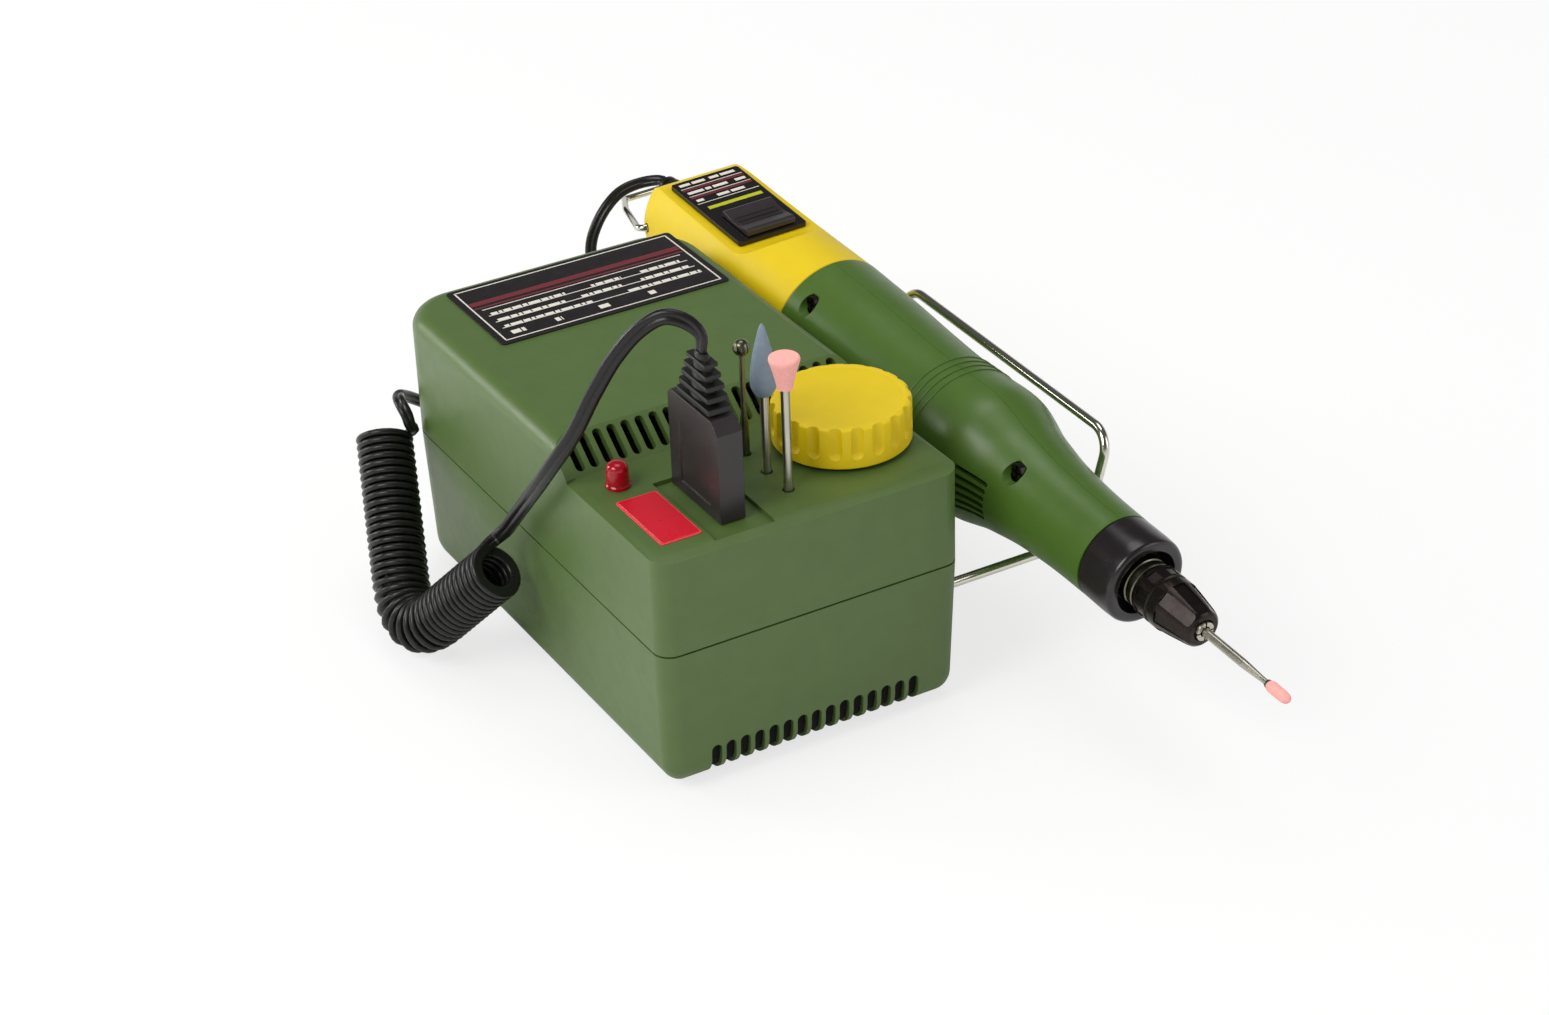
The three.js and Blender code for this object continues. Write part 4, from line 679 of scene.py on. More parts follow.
# %% The tree of copies
def copies_tree():
    tree = bpy.data.node_groups.new("copies", "GeometryNodeTree")
    names = {}
    for name, kind in (("Piece", "NodeSocketObject"), ("Count", "NodeSocketInt"),
                       ("Start", "NodeSocketVector"), ("Step", "NodeSocketVector"),
                       ("Turn", "NodeSocketVector"), ("Shrink", "NodeSocketFloat"),
                       ("Finish", "NodeSocketMaterial")):
        names[name] = tree.interface.new_socket(name, in_out="INPUT", socket_type=kind).identifier
    tree.interface.new_socket("Copies", in_out="OUTPUT", socket_type="NodeSocketGeometry")
    given = tree.nodes.new("NodeGroupInput")
    line = tree.nodes.new("GeometryNodeMeshLine")
    line.mode = "OFFSET"
    number = tree.nodes.new("GeometryNodeInputIndex")
    turn = tree.nodes.new("ShaderNodeVectorMath")
    turn.operation = "SCALE"
    as_rotation = tree.nodes.new("FunctionNodeEulerToRotation")
    less = tree.nodes.new("ShaderNodeMath")
    less.operation = "MULTIPLY"
    size = tree.nodes.new("ShaderNodeMath")
    size.operation = "SUBTRACT"
    size.inputs[0].default_value = 1.0
    piece = tree.nodes.new("GeometryNodeObjectInfo")
    stand = tree.nodes.new("GeometryNodeInstanceOnPoints")
    real = tree.nodes.new("GeometryNodeRealizeInstances")
    coat = tree.nodes.new("GeometryNodeSetMaterial")
    result = tree.nodes.new("NodeGroupOutput")
    for source, target in (
        (given.outputs["Count"], line.inputs["Count"]),
        (given.outputs["Start"], line.inputs["Start Location"]),
        (given.outputs["Step"], line.inputs["Offset"]),
        (given.outputs["Turn"], turn.inputs[0]), (number.outputs[0], turn.inputs["Scale"]),
        (turn.outputs[0], as_rotation.inputs[0]),
        (given.outputs["Shrink"], less.inputs[0]), (number.outputs[0], less.inputs[1]),
        (less.outputs[0], size.inputs[1]), (given.outputs["Piece"], piece.inputs["Object"]),
        (line.outputs[0], stand.inputs["Points"]),
        (piece.outputs["Geometry"], stand.inputs["Instance"]),
        (as_rotation.outputs[0], stand.inputs["Rotation"]),
        (size.outputs[0], stand.inputs["Scale"]),
        (stand.outputs[0], real.inputs[0]), (real.outputs[0], coat.inputs["Geometry"]),
        (given.outputs["Finish"], coat.inputs["Material"]), (coat.outputs[0], result.inputs[0]),
    ):
        tree.links.new(source, target)
    return tree, names


COPIES, COPY_INPUTS = copies_tree()


# %% Copies of one shape
def copies(name, shape, count, start=(0, 0, 0), step=(0, 0, 0), turn=(0, 0, 0), shrink=0.0,
           material=None):
    """Start and step in millimetres, turn in degrees from one copy to the next."""
    host = bpy.data.objects.new(name, bpy.data.meshes.new(name))
    scene.collection.objects.link(host)
    repeat = host.modifiers.new("copies", "NODES")
    repeat.node_group = COPIES
    values = {"Piece": shape, "Count": count, "Start": [v * MM for v in start],
              "Step": [v * MM for v in step], "Turn": [math.radians(v) for v in turn],
              "Shrink": shrink, "Finish": material or case_green}
    for socket, value in values.items():
        repeat[COPY_INPUTS[socket]] = value
    baked(host)
    bpy.data.objects.remove(shape)
    print(f"{name}: {count} copies, {len(host.data.polygons)} faces")
    return host


# %% [markdown]
# ## The case
# The case is two mouldings that meet at a fine dark line: a tray with drafted walls, and a cover
# with a low control deck in front of a vented slope. Both are one plan outline stacked at many
# heights. Where a wall turns into the floor or the roof, the outline draws in along a quarter
# circle and its corners shrink with it, which rounds a corner like a ball, as a mould does. A
# bevelled box would be quicker, but its bevel keeps one radius where the walls lean.

# %% Case outlines
HALF_WIDTH, HALF_DEPTH = 43.0, 73.75
SPLIT, DECK, ROOF = 39.6, 67.3, 74.7
SLOPE_FOOT, SLOPE_HEAD = -26.75, -17.15
WALL = 2.4
SEAM = 0.5
FRONT_CORNER, REAR_CORNER = 4.8, 14.0
DRAFT, FOOT_ROUND, ROOF_ROUND = 1.3, 6.0, 4.8


def plan(inset, shrink):
    """The case seen from above, drawn in by the inset, with corner radii less the shrink."""
    x, front, rear = HALF_WIDTH - inset, -HALF_DEPTH + inset, HALF_DEPTH - inset
    small, large = max(FRONT_CORNER - shrink, 0.6), REAR_CORNER - shrink
    return (arc(x - small, front + small, small, -90, 0, 8)
            + arc(x - large, rear - large, large, 0, 90, 14)
            + arc(-x + large, rear - large, large, 90, 180, 14)
            + arc(-x + small, front + small, small, 180, 270, 8))


def stacked(name, layers):
    """A solid through outlines at their heights, from the lowest to the highest."""
    n = len(layers[0][1])
    points = [(x, y, z) for z, outline in layers for x, y in outline]
    faces = [tuple(range(n)), tuple(range(len(points) - n, len(points)))]
    for k in range(len(layers) - 1):
        faces += [(k * n + i, k * n + (i + 1) % n, (k + 1) * n + (i + 1) % n, (k + 1) * n + i)
                  for i in range(n)]
    return tidy(new_mesh(name, points, faces))


def tray_block(wall, top):
    layers = []
    for i in range(11):
        a = math.radians(9 * i)
        z = wall + FOOT_ROUND * (1 - math.cos(a))
        drawn = wall + FOOT_ROUND * (1 - math.sin(a))
        layers.append((z, plan(drawn + DRAFT * (1 - z / SPLIT), drawn)))
    return stacked("tray", layers + [(top, plan(wall, wall))])


def cover_block(wall, bottom):
    """The full-height box of the cover, less what stands over the deck and the slope."""
    layers = [(bottom, plan(wall, wall))]
    for i in range(11):
        a = math.radians(9 * i)
        drawn = wall + ROOF_ROUND * (1 - math.cos(a))
        layers.append((ROOF - wall - ROOF_ROUND * (1 - math.sin(a)), plan(drawn, drawn)))
    run, rise = SLOPE_HEAD - SLOPE_FOOT, ROOF - DECK
    foot = SLOPE_FOOT + wall * (math.hypot(run, rise) - run) / rise
    deck = DECK - wall
    edge, drop = 4.2, 3                 # the deck slopes down to the front at its edge
    over_deck = block("over_deck", [
        (-HALF_DEPTH - edge, deck - drop), (-HALF_DEPTH + edge, deck), (foot, deck),
        (foot + 2 * run, deck + 2 * rise), (-HALF_DEPTH - edge, deck + 2 * rise)], -60, 60, "X")
    return cut(stacked("cover", layers), over_deck)


# %% [markdown]
# A row of arched notches along the foot of the front wall lets air in. They look black, so a dull
# near-black strip stands behind them as painted shade, which is a guess. Four posts carry deep
# screw wells from underneath. Holes and notches are booleans, because each is one plain tool, cut
# into an even wall.

# %% Tray
tray = cut(tray_block(0, SPLIT - SEAM / 2), tray_block(WALL, SPLIT + 2))
NOTCHES, NOTCH_PITCH, NOTCH_HALF = 15, 4.1, 1.45
notch = block("notch", [(-NOTCH_HALF, -1), (NOTCH_HALF, -1)]
              + arc(0, 8.15, NOTCH_HALF, 0, 180, 10), -HALF_DEPTH - 1, -HALF_DEPTH + 7, "Y")
cut(tray, copies("tray_notches", notch, NOTCHES, start=(-28.7, 0, 0), step=(NOTCH_PITCH, 0, 0)))
post_places = [(x, y) for x in (-31, 31) for y in (-61, 61)]
POST_RADIUS, WELL_RADIUS, WELL_TOP = 4, 3.4, 22.2
for x, y in post_places:
    boolean(tray, moved(rod("post", POST_RADIUS, 1.4, SPLIT - SEAM / 2, 24), x, y), "UNION")
cut(tray, joined("wells", *[moved(rod("well", WELL_RADIUS, -1, WELL_TOP, 24), x, y)
                            for x, y in post_places]))
for y, z in ((-69.4, 31), (27, 36.3)):
    cut(tray, moved(rod("leg_hole", 1.65, 30, 45, 20), 0, y, z, about("Y", 90)))
cut(tray, moved(rod("inlet_hole", 5.95, 60, 80, 32), -20, 0, 20, about("X", -90)))
rounded(tray, 0.35, segments=2, angle=40)
dress(tray, "housing", "case_green", case_green, "base_tray")

# %% Strip behind the notches
# a near-black strip set where there is only shade: painted shade that keeps the notches black
strip = block("notch_strip", [
    (-71.5, 10.5), (-71.4, 6), (-70.6, 3), (-69.2, 1.6), (-67.9, 1), (-66.4, 0.9), (-66.4, 4),
    (-69.6, 10.5)], -30.9, 30.9, "X")
dress(strip, "housing", "black_plastic", painted_shade_black)

# %% [markdown]
# The cover's slope carries twenty long slots, square to it, so their tool leans as the slope does
# before it is copied. In front lie the plug's shallow bay and the holes for the lamp, the knob's
# shaft and the row of tools. The small holes come last, since their rims stay sharp.

# %% Cover
cover = cut(cover_block(0, SPLIT + SEAM / 2), cover_block(WALL, SPLIT - 2))
lean = math.degrees(math.atan2(ROOF - DECK, SLOPE_HEAD - SLOPE_FOOT))
SLOTS, SLOT_PITCH, SLOT_HALF = 20, 4, 1.25
slot_outline = arc(0, 3.9, SLOT_HALF, 0, 180, 10) + arc(0, -3.5, SLOT_HALF, 180, 360, 10)
slot = moved(block("slot", slot_outline, -5, 3), turn=about("X", lean))
slope_middle = ((SLOPE_FOOT + SLOPE_HEAD) / 2, (DECK + ROOF) / 2)
cut(cover, copies("cover_slots", slot, SLOTS, start=(-38, *slope_middle),
                  step=(SLOT_PITCH, 0, 0)))
for side in (-1, 1):
    cut(cover, block("bevel", [
        (side * 40, DECK), (side * 44, DECK - 1.2), (side * 44, DECK + 0.4),
        (side * 40, DECK + 0.4)], -80, SLOPE_FOOT, "Y"))
cut(cover, box("bay", -25.8, -9, -70.95, -39.45, DECK - 1.2, DECK + 1))
row_places = [(1, -39.05), (1, -49.75), (1, -60.35)]
knob_place, lamp_place = (25.1, -45.8), (-33.3, -35.75)
cut(cover, moved(rod("shaft_hole", 6.3, 60, 70), *knob_place),
    moved(rod("lamp_hole", 2.8, 60, 70), *lamp_place))
rounded(cover, 0.45, segments=2, angle=38)
cut(cover, joined("row_holes", *[moved(rod("row_hole", 1.55, 60, 70, 24), x, y)
                                 for x, y in row_places]))
dress(cover, "housing", "case_green", case_green, "top_cover")

# %% [markdown]
# Four soft feet are the same turned button. They could be four objects, but the tree of copies
# deals them out in two pairs, and one mesh stands for all four.

# %% Feet
FOOT_X, FOOT_Y = 28, 44


def foot_pair(name, depth):
    foot = turned("foot", [(0, -2), (4.9, -2), (5.6, -1.7), (6, -1), (6, 0.3), (0, 0.3)], 40)
    return copies(name, foot, 2, start=(-FOOT_X, depth, 0), step=(2 * FOOT_X, 0, 0))


feet = joined("feet", foot_pair("front_feet", -FOOT_Y), foot_pair("rear_feet", FOOT_Y))
dress(feet, "housing", "black_rubber", black_rubber,
      *["rubber_foot_" + corner for corner in ("front_left", "front_right", "rear_left",
                                               "rear_right")])

# %% [markdown]
# ## Plates and lamp
# The rating plate is a thin glossy black sheet with a pale frame line. What is printed on it
# stays generic: plain rules and rows of short dashes of a few lengths. Print could be a picture on
# a plane, but thin blocks need no image and keep their edges when the model is exported.

# %% Rating plate
PLATE_MIDDLE = place(3.95, 51.15, ROOF)
PLATE_TOP, PRINT_FOOT, PRINT_TOP, BAND_TOP = 0.45, 0.44, 0.5, 0.47


def rounded_oblong(half_x, half_y, corner, x=0.0, y=0.0):
    return (arc(x + half_x - corner, y - half_y + corner, corner, -90, 0, 5)
            + arc(x + half_x - corner, y + half_y - corner, corner, 0, 90, 5)
            + arc(x - half_x + corner, y + half_y - corner, corner, 90, 180, 5)
            + arc(x - half_x + corner, y - half_y + corner, corner, 180, 270, 5))


plate = block("rating_sheet", rounded_oblong(34.15, 17.55, 1.2, PLATE_MIDDLE.x, PLATE_MIDDLE.y),
              ROOF - 0.05, ROOF + PLATE_TOP)
rounded(plate, 0.12, segments=2)
dress(plate, "housing", "black_plate", gloss_black, "rating_plate")


def rule(x0, x1, y, width, top=PRINT_TOP):
    x, depth = PLATE_MIDDLE.x, PLATE_MIDDLE.y
    return box("rule", x + x0, x + x1, depth + y - width / 2, depth + y + width / 2,
               ROOF + PRINT_FOOT, ROOF + top)


frame_lines = [rule(-32.4, 32.4, 15.8, 0.4), rule(-32.4, 32.4, -15.8, 0.4),
               rule(-32.4, -32.0, 0, 31.6), rule(32.0, 32.4, 0, 31.6)]
thin = copies("thin_rules", box("thin", -30, 30, -0.16, 0.16, 0, 0.06), 4,
              start=(PLATE_MIDDLE.x, PLATE_MIDDLE.y - 9.2, ROOF + PRINT_FOOT), step=(0, 4.1, 0))
dashes = []
for row, runs in enumerate((((-29, 4), (-16, 2), (-3, 3), (12, 2)), ((-29, 26), (8, 22)),
                            ((-29, 20), (-4, 12), (14, 15)), ((-29, 22), (1, 9), (16, 12)))):
    for number, (start, length) in enumerate(runs):
        x, step = start, row + number
        while x < start + length:
            dash = (2.6, 1.3, 3.4, 1.9, 0.9, 2.2)[step % 6]
            dashes.append(rule(x, min(x + dash, start + length), -12.6 + row * 4.15,
                               2.0 if row == 0 else 1.25))
            x += dash + 0.45
            step += 1
print_white = joined("plate_lines", *frame_lines, thin, *dashes)
dress(print_white, "housing", "black_plate", white_print)
red_bands = joined("plate_bands", rule(-31.6, 31.6, 7.2, 2.2, BAND_TOP),
                   rule(-31.6, 31.6, 4.6, 0.7, BAND_TOP))
dress(red_bands, "housing", "black_plate", red_print)

# %% [markdown]
# The red plate is bare and a little crowned. Its edge catches the light and looks paler, and that
# highlight is painted: the face sits in a slightly larger rim of a paler red. The pilot lamp is a
# small clear cap, turned from a profile.

# %% Red plate and lamp
red_place = (-32.4, -55.05)
# the rim's paler red is a painted highlight on the plate's edge
red_rim = block("red_rim", rounded_oblong(5.7, 11.9, 0.8, *red_place), DECK - 0.05, DECK + 0.3)
rounded(red_rim, 0.15, segments=2)
dress(red_rim, "housing", "red_plastic", red_rim_highlight, "red_plate")
red_face = block("red_face", rounded_oblong(5.2, 11.4, 0.6, *red_place), DECK + 0.2, DECK + 0.5)
rounded(red_face, 0.2, segments=3)
dress(red_face, "housing", "red_plastic", red_plate_finish)
lamp_body = turned("lamp_lens", [
    (0, 62), (2.45, 62), (2.45, 67.2), (3.25, 67.35), (3.25, 68.1), (2.95, 68.4), (2.85, 72.3),
    (2.6, 73.2), (2.0, 73.8), (1.1, 74.1), (0, 74.2)], 40)
moved(lamp_body, *lamp_place)
dress(lamp_body, "housing", "red_plastic", red_clear, "pilot_lamp")

# %% [markdown]
# ## The speed knob
# A plain drum with twenty scoops round its side, each as if pressed by a fingertip: a round-ended
# pin, copied in a ring and cut away. The ring at the foot stays whole. The scoops could be drawn
# into the outline, but then they would reach the foot and have no rounded ends.

# %% Speed knob
KNOB_RADIUS, KNOB_FOOT, SCOOPS = 17.8, DECK + 1, 20
knob = turned("knob", [
    (0, 0), (17.4, 0), (KNOB_RADIUS, 0.4), (KNOB_RADIUS, 10.1), (17.6, 10.8), (17.1, 11.2),
    (16.4, 11.3), (15.7, 11.22), (15.3, 11.0), (0, 11.0)], 160)
dip = 1.95
pin = [(dip * math.sin(math.radians(a)), 2.4 + dip - dip * math.cos(math.radians(a)))
       for a in range(0, 91, 15)]
scoop = moved(turned("scoop", pin + [(dip, 14), (0, 14)], 32), x=KNOB_RADIUS + dip - 1.05)
cut(knob, copies("knob_scoops", scoop, SCOOPS, turn=(0, 0, 360 / SCOOPS)))
rounded(knob, 0.22, segments=2, angle=35)
moved(knob, *knob_place, KNOB_FOOT)
dress(knob, "knob", "yellow", yellow, "speed_knob")

# %% [markdown]
# ## The plug
# The plug stands in its bay. It is a flat block whose upper corners are cut off, and its cord
# leaves through a soft sleeve: five flat collars, each smaller than the one below it. They are
# copies that shrink as they rise, round a narrow core that keeps the gaps between them dark.

# %% Plug
PLUG_X, PLUG_Y, PLUG_FOOT = -17.15, -52.55, DECK - 0.9
PLUG_TOP = PLUG_FOOT + 27.1
plug = block("plug_block", [
    (-12.4, PLUG_FOOT), (12.4, PLUG_FOOT), (12.4, PLUG_TOP - 1.5), (10.9, PLUG_TOP),
    (-9.4, PLUG_TOP), (-12.4, PLUG_TOP - 3)], -3.45, 3.45, "X")
cut(plug, box("groove", -4, -3.15, -7.2, 7.2, PLUG_FOOT + 3, PLUG_FOOT + 20),
    box("groove", 3.15, 4, -7.2, 7.2, PLUG_FOOT + 3, PLUG_FOOT + 20))
rounded(plug, 0.6, segments=3)
moved(plug, PLUG_X, PLUG_Y)
dress(plug, "plug", "black_plastic", black_plastic, "plug_body")

# %% Plug's ribbed sleeve
rib = block("rib", rounded_oblong(3.3, 8.3, 0.9), 0, 1.7)
rounded(rib, 0.3, segments=2)
ribs = copies("sleeve_ribs", rib, 5, start=(PLUG_X, PLUG_Y, PLUG_TOP + 0.6), step=(0, 0, 2.75),
              shrink=0.105)
core = turned("core", [(0, 0), (6, 0), (4.6, 6), (3.1, 12.4), (2.6, 13.6), (2.2, 13.8),
                       (0, 13.8)], 40)
moved(core, PLUG_X, PLUG_Y, PLUG_TOP + 0.3, Matrix.Diagonal((0.5, 1, 1, 1)))
sleeve = joined("plug_sleeve", ribs, core)
dress(sleeve, "plug", "black_rubber", black_rubber, "plug_relief")

# %% [markdown]
# ## Tools on the deck
# Three small tools stand in the row of holes: a steel ball burr with fine teeth, a blue-grey
# rubber cone for polishing, and a pink stone that widens upwards. Their shanks are ground bright.
# Real ones are turned or ground to a profile, so they are made in the same way here, and the
# burr's teeth are left by one thin box that is copied in a ring and cut away.

# %% Burr
SHANK_RADIUS, SHANK_FOOT = 1.175, 57
ball = [(2.2 * math.sin(math.radians(a)), 97.3 - 2.2 * math.cos(math.radians(a)))
        for a in range(20, 181, 10)]
burr = turned("burr", [(0, SHANK_FOOT), (1.0, SHANK_FOOT), (SHANK_RADIUS, SHANK_FOOT + 0.2),
                       (SHANK_RADIUS, 76.3), (0.7, 78.8), (0.7, 95.2)] + ball, 48)
tooth = box("tooth", 1.75, 3, -0.16, 0.16, 94.9, 99.8)
cut(burr, copies("burr_teeth", tooth, 10, turn=(0, 0, 36)))
moved(burr, *row_places[0])
dress(burr, "burr", "dark_steel", dark_steel, "ball_burr")

# %% Rubber cone and stone
cone_foot = DECK + 21.7
cone = turned("cone", [(0, cone_foot), (1.7, cone_foot)] + softened([
    (2.1, cone_foot + 0.2), (3.1, cone_foot + 2), (3.4, cone_foot + 4), (3.2, cone_foot + 7),
    (2.5, cone_foot + 11.4), (1.5, cone_foot + 15.6), (0.7, cone_foot + 18.6),
    (0.2, cone_foot + 19.5)], 0.5) + [(0, cone_foot + 19.6)], 56)
moved(cone, *row_places[1])
dress(cone, "rubber_cone", "blue_rubber", blue_rubber, "rubber_cone_head")
stone_foot = DECK + 28.2
stone = turned("stone", [(0, stone_foot), (1.7, stone_foot)] + softened([
    (2.0, stone_foot + 0.15), (2.35, stone_foot + 2.2), (2.9, stone_foot + 4.4),
    (3.6, stone_foot + 6.8), (3.9, stone_foot + 7.8), (3.85, stone_foot + 8.5),
    (3.5, stone_foot + 8.8)], 0.4) + [(0, stone_foot + 8.8)], 56)
moved(stone, *row_places[2])
dress(stone, "inverted_stone", "pink_stone", pink_stone, "inverted_stone_head")


def shank(name, top, spot, body, node):
    """A ground shank with a small chamfer at its foot."""
    made = turned(name, [(0, SHANK_FOOT), (0.95, SHANK_FOOT), (SHANK_RADIUS, SHANK_FOOT + 0.3),
                         (SHANK_RADIUS, top), (0, top)], 32)
    moved(made, *spot)
    dress(made, body, "steel", bright_steel, node)


shank("cone_shank", cone_foot + 0.1, row_places[1], "rubber_cone", "rubber_cone_shank")
shank("stone_shank", stone_foot + 0.1, row_places[2], "inverted_stone", "inverted_stone_shank")

# %% [markdown]
# ## The wire cradle
# One bright wire is bent into a long loop: two legs that plug into the tray, two uprights, and a
# rail that keeps the drill from rolling away. Its corners are bent round a former, so its line is
# straight runs with arcs of one radius, and a round section is swept along it as the cord's was.

# %% Bent wire
def bent(points, radius, spacing):
    """Straight runs with arcs of that radius at the corners."""
    p = [Vector(q) for q in points]
    line = [p[0]]
    for before, here, after in zip(p, p[1:], p[2:]):
        a, b = (before - here).normalized(), (after - here).normalized()
        half = a.angle(b) / 2
        centre = here + (a + b).normalized() * (radius / math.sin(half))
        start = here + a * (radius / math.tan(half)) - centre
        end = here + b * (radius / math.tan(half)) - centre
        swing = start.rotation_difference(end)
        line += [centre + Matrix.Rotation(swing.angle * i / 14, 3, swing.axis) @ start
                 for i in range(15)]
    return even_steps(line + [p[-1]], spacing)


def wire(name, line, radius, sides=20):
    along, wide = carried(line, Vector((0.1, 0.2, 1)))
    section = [(radius * math.cos(2 * math.pi * j / sides),
                radius * math.sin(2 * math.pi * j / sides)) for j in range(sides)]
    return tidy(sweep(name, line, along, wide, section))


cradle_line = bent([
    (32.3, -69.4, 31), (82.5, -69.4, 31), (90.5, -69.4, 59.2), (90.5, 27, 61.2),
    (82.5, 27, 36.3), (32.3, 27, 36.3)], 6.5, 0.9)
cradle = wire("bent_wire", cradle_line, 1.3)
dress(cradle, "cradle", "wire_chrome", wire_chrome, "wire_cradle", angle=math.radians(60))

# %% [markdown]
# ## The drill's body
# Two mouldings meet in a seam along the top. The body swells over the fan and draws in to the
# nose, so its profile is one soft curve. Both halves come from the same turned shell, cut in two
# and rounded at the cut, which leaves the fine groove that shows where they meet.

# %% Drill profile
BODY_LENGTH = 126.8
profile_points = [
    (18.9, 0.15), (18.7, 20), (18.1, 38), (17.9, 52), (18.4, 63), (19, 73), (18.5, 77.5),
    (17.2, 82), (15.8, 86.5), (14.6, 92.5), (13.5, 99), (12.7, 107), (12.2, 116), (12, BODY_LENGTH)]
body_curve = softened(profile_points, 1.2)


def body_radius(station):
    for (r0, s0), (r1, s1) in zip(body_curve, body_curve[1:]):
        if s0 <= station <= s1:
            return r0 + (r1 - r0) * (station - s0) / (s1 - s0)
    return body_curve[-1][0]


# %% Drill body
shell = turned("shell", [(0, 0.15)] + body_curve + [(0, BODY_LENGTH)], 112)
cut(shell, turned("room", [(0, -1), (16.7, -1)] + [
    (r - 2.2, s) for r, s in body_curve[::6]] + [(9.8, 128), (0, 128)], 64))
slit = moved(block("slit", rounded_oblong(0.6, 5.75, 0.58, 0, 85.25), 9, 26, "X"),
             turn=about("Z", -20))
left_slits = copies("left_slits", slit, 6, turn=(0, 0, 8))
right_slits = left_slits.copy()
right_slits.data = left_slits.data.copy()
scene.collection.objects.link(right_slits)
right_slits.data.transform(about("Z", 180))
cut(shell, left_slits, right_slits)
for station, rise in ((7.4, 13.4), (95.6, 10.2)):
    reach = math.sqrt(body_radius(station) ** 2 - rise ** 2)
    cut(shell, moved(rod("screw_well", 2.6, -30, -(reach - 3), 28), 0, rise, station,
                     about("Y", 90)))
other = shell.copy()
other.data = shell.data.copy()
scene.collection.objects.link(other)
cut(shell, box("right", -0.04, 40, -40, 40, -2, 130))
cut(other, box("left", -40, 0.04, -40, 40, -2, 130))
body = joined("drill_body", rounded(shell, 0.22, 2, 45), rounded(other, 0.22, 2, 45))
dress(laid(body), "drill", "drill_green", drill_green, "body_shell_left", "body_shell_right")

# %% [markdown]
# Four fine raised lines run round the grip just before it swells. They are one thin ring, copied
# along the drill and growing with it.

# %% Grip lines
line_ring = turned("line_ring", [
    (18.08 + 0.16 * math.cos(math.radians(a)), 0.16 * math.sin(math.radians(a)))
    for a in range(0, 361, 45)], 112)
growth = (body_radius(62) / body_radius(54.5) - 1) / 3
grip_lines = copies("grip_lines", line_ring, 4, start=(0, 0, 54.5), step=(0, 0, 2.5),
                    shrink=-growth, material=drill_green)
dress(laid(grip_lines), "drill", "drill_green", drill_green)

# %% [markdown]
# ## The yellow cap
# The cap is round where it meets the body. On top it is pressed to a flat for the switch panel:
# in front the flat climbs back to the round in a smooth scoop, behind it rolls off to the tail.
# One tool with that outline cuts all three at once, so they meet without a step.

# %% Rear cap
FLAT_HEIGHT, BAIL_PIVOT = 11.6, -68
cap = turned("cap", [(0, CAP_END), (13.2, CAP_END)] + softened([
    (13.6, CAP_END + 0.05), (15.2, CAP_END + 0.6), (16.5, CAP_END + 1.9), (17.3, CAP_END + 3.8),
    (17.8, CAP_END + 7), (18.1, CAP_END + 28), (18.4, -20), (18.75, -4)], 0.7)
    + [(18.85, -0.4), (18.6, -0.15), (0, -0.15)], 120)
scoop_line = [(FLAT_HEIGHT + 8.4 * (3 * t * t - 2 * t ** 3) * (0.55 + 0.45 * t), -29 + 15 * t)
              for t in (i / 14 for i in range(15))]
roll_off = [(FLAT_HEIGHT - 6.4 * (1 - math.cos(math.radians(a))),
             CAP_END + 6.4 - 7 * math.sin(math.radians(a))) for a in range(0, 81, 8)]
flat_tool = block("flat", [(30, CAP_END - 6)] + roll_off[::-1] + scoop_line + [(30, -14)],
                  -30, 30, "X")
cut(cap, flat_tool)
cut(cap, moved(rod("pivot_hole", 1.4, -30, 30, 24), 0, 0, BAIL_PIVOT, about("Y", 90)),
    rod("relief_hole", 4.3, CAP_END - 1, CAP_END + 4, 40))
rounded(cap, 0.9, segments=3, angle=28)
dress(laid(cap), "drill", "yellow", yellow, "rear_cap")

# %% [markdown]
# ## Switch panel
# A black plate fills the flat. Its rear part carries print, kept to plain rules and blocks, and
# its front part a broad low slide that is dished for a thumb. The slide is an outline from the
# side, run across, because the dish is the same all over its width.

# %% Panel and slide
panel = block("panel", rounded_oblong(11.2, 18.2, 0.9, 0, -47.6), 11.65, 13.2, "Y")
rounded(panel, 0.3, segments=2)
cut(panel, box("stem_slot", -3.2, 3.2, 11, 14, -43, -34))
dress(laid(panel), "drill", "black_plate", gloss_black, "switch_panel")


def on_panel(x0, x1, s0, s1, lift=0.05):
    return box("mark", x0, x1, 13.18, 13.2 + lift, s0, s1)


marks = [on_panel(x0, x1, s0, s0 + 1.2) for s0, spans in (
    (-64.2, ((-9.5, -6.1), (-5.4, -1.2), (0.4, 3.4), (4.1, 8.8))),
    (-59.6, ((-9.5, -4.4), (-3.7, -1.9), (-1.2, 3.6), (6.2, 9.6))),
    (-55.0, ((-9.5, -7.2), (-2.6, 1.3), (2.0, 6.4)))) for x0, x1 in spans]
panel_rules = copies("panel_rules", on_panel(-10.2, 10.2, -61.8, -61.55), 3, step=(0, 0, 4.5))
dress(laid(joined("panel_print", panel_rules, *marks)), "drill", "black_plate", white_print)
dress(laid(joined("panel_bands", on_panel(-10.2, 10.2, -61.3, -60.4, 0.03),
                  on_panel(-10.2, 10.2, -56.8, -55.9, 0.03))), "drill", "black_plate", red_print)
dress(laid(on_panel(-8.6, 9.2, -50.3, -48.8)), "drill", "black_plate", yellow_print)

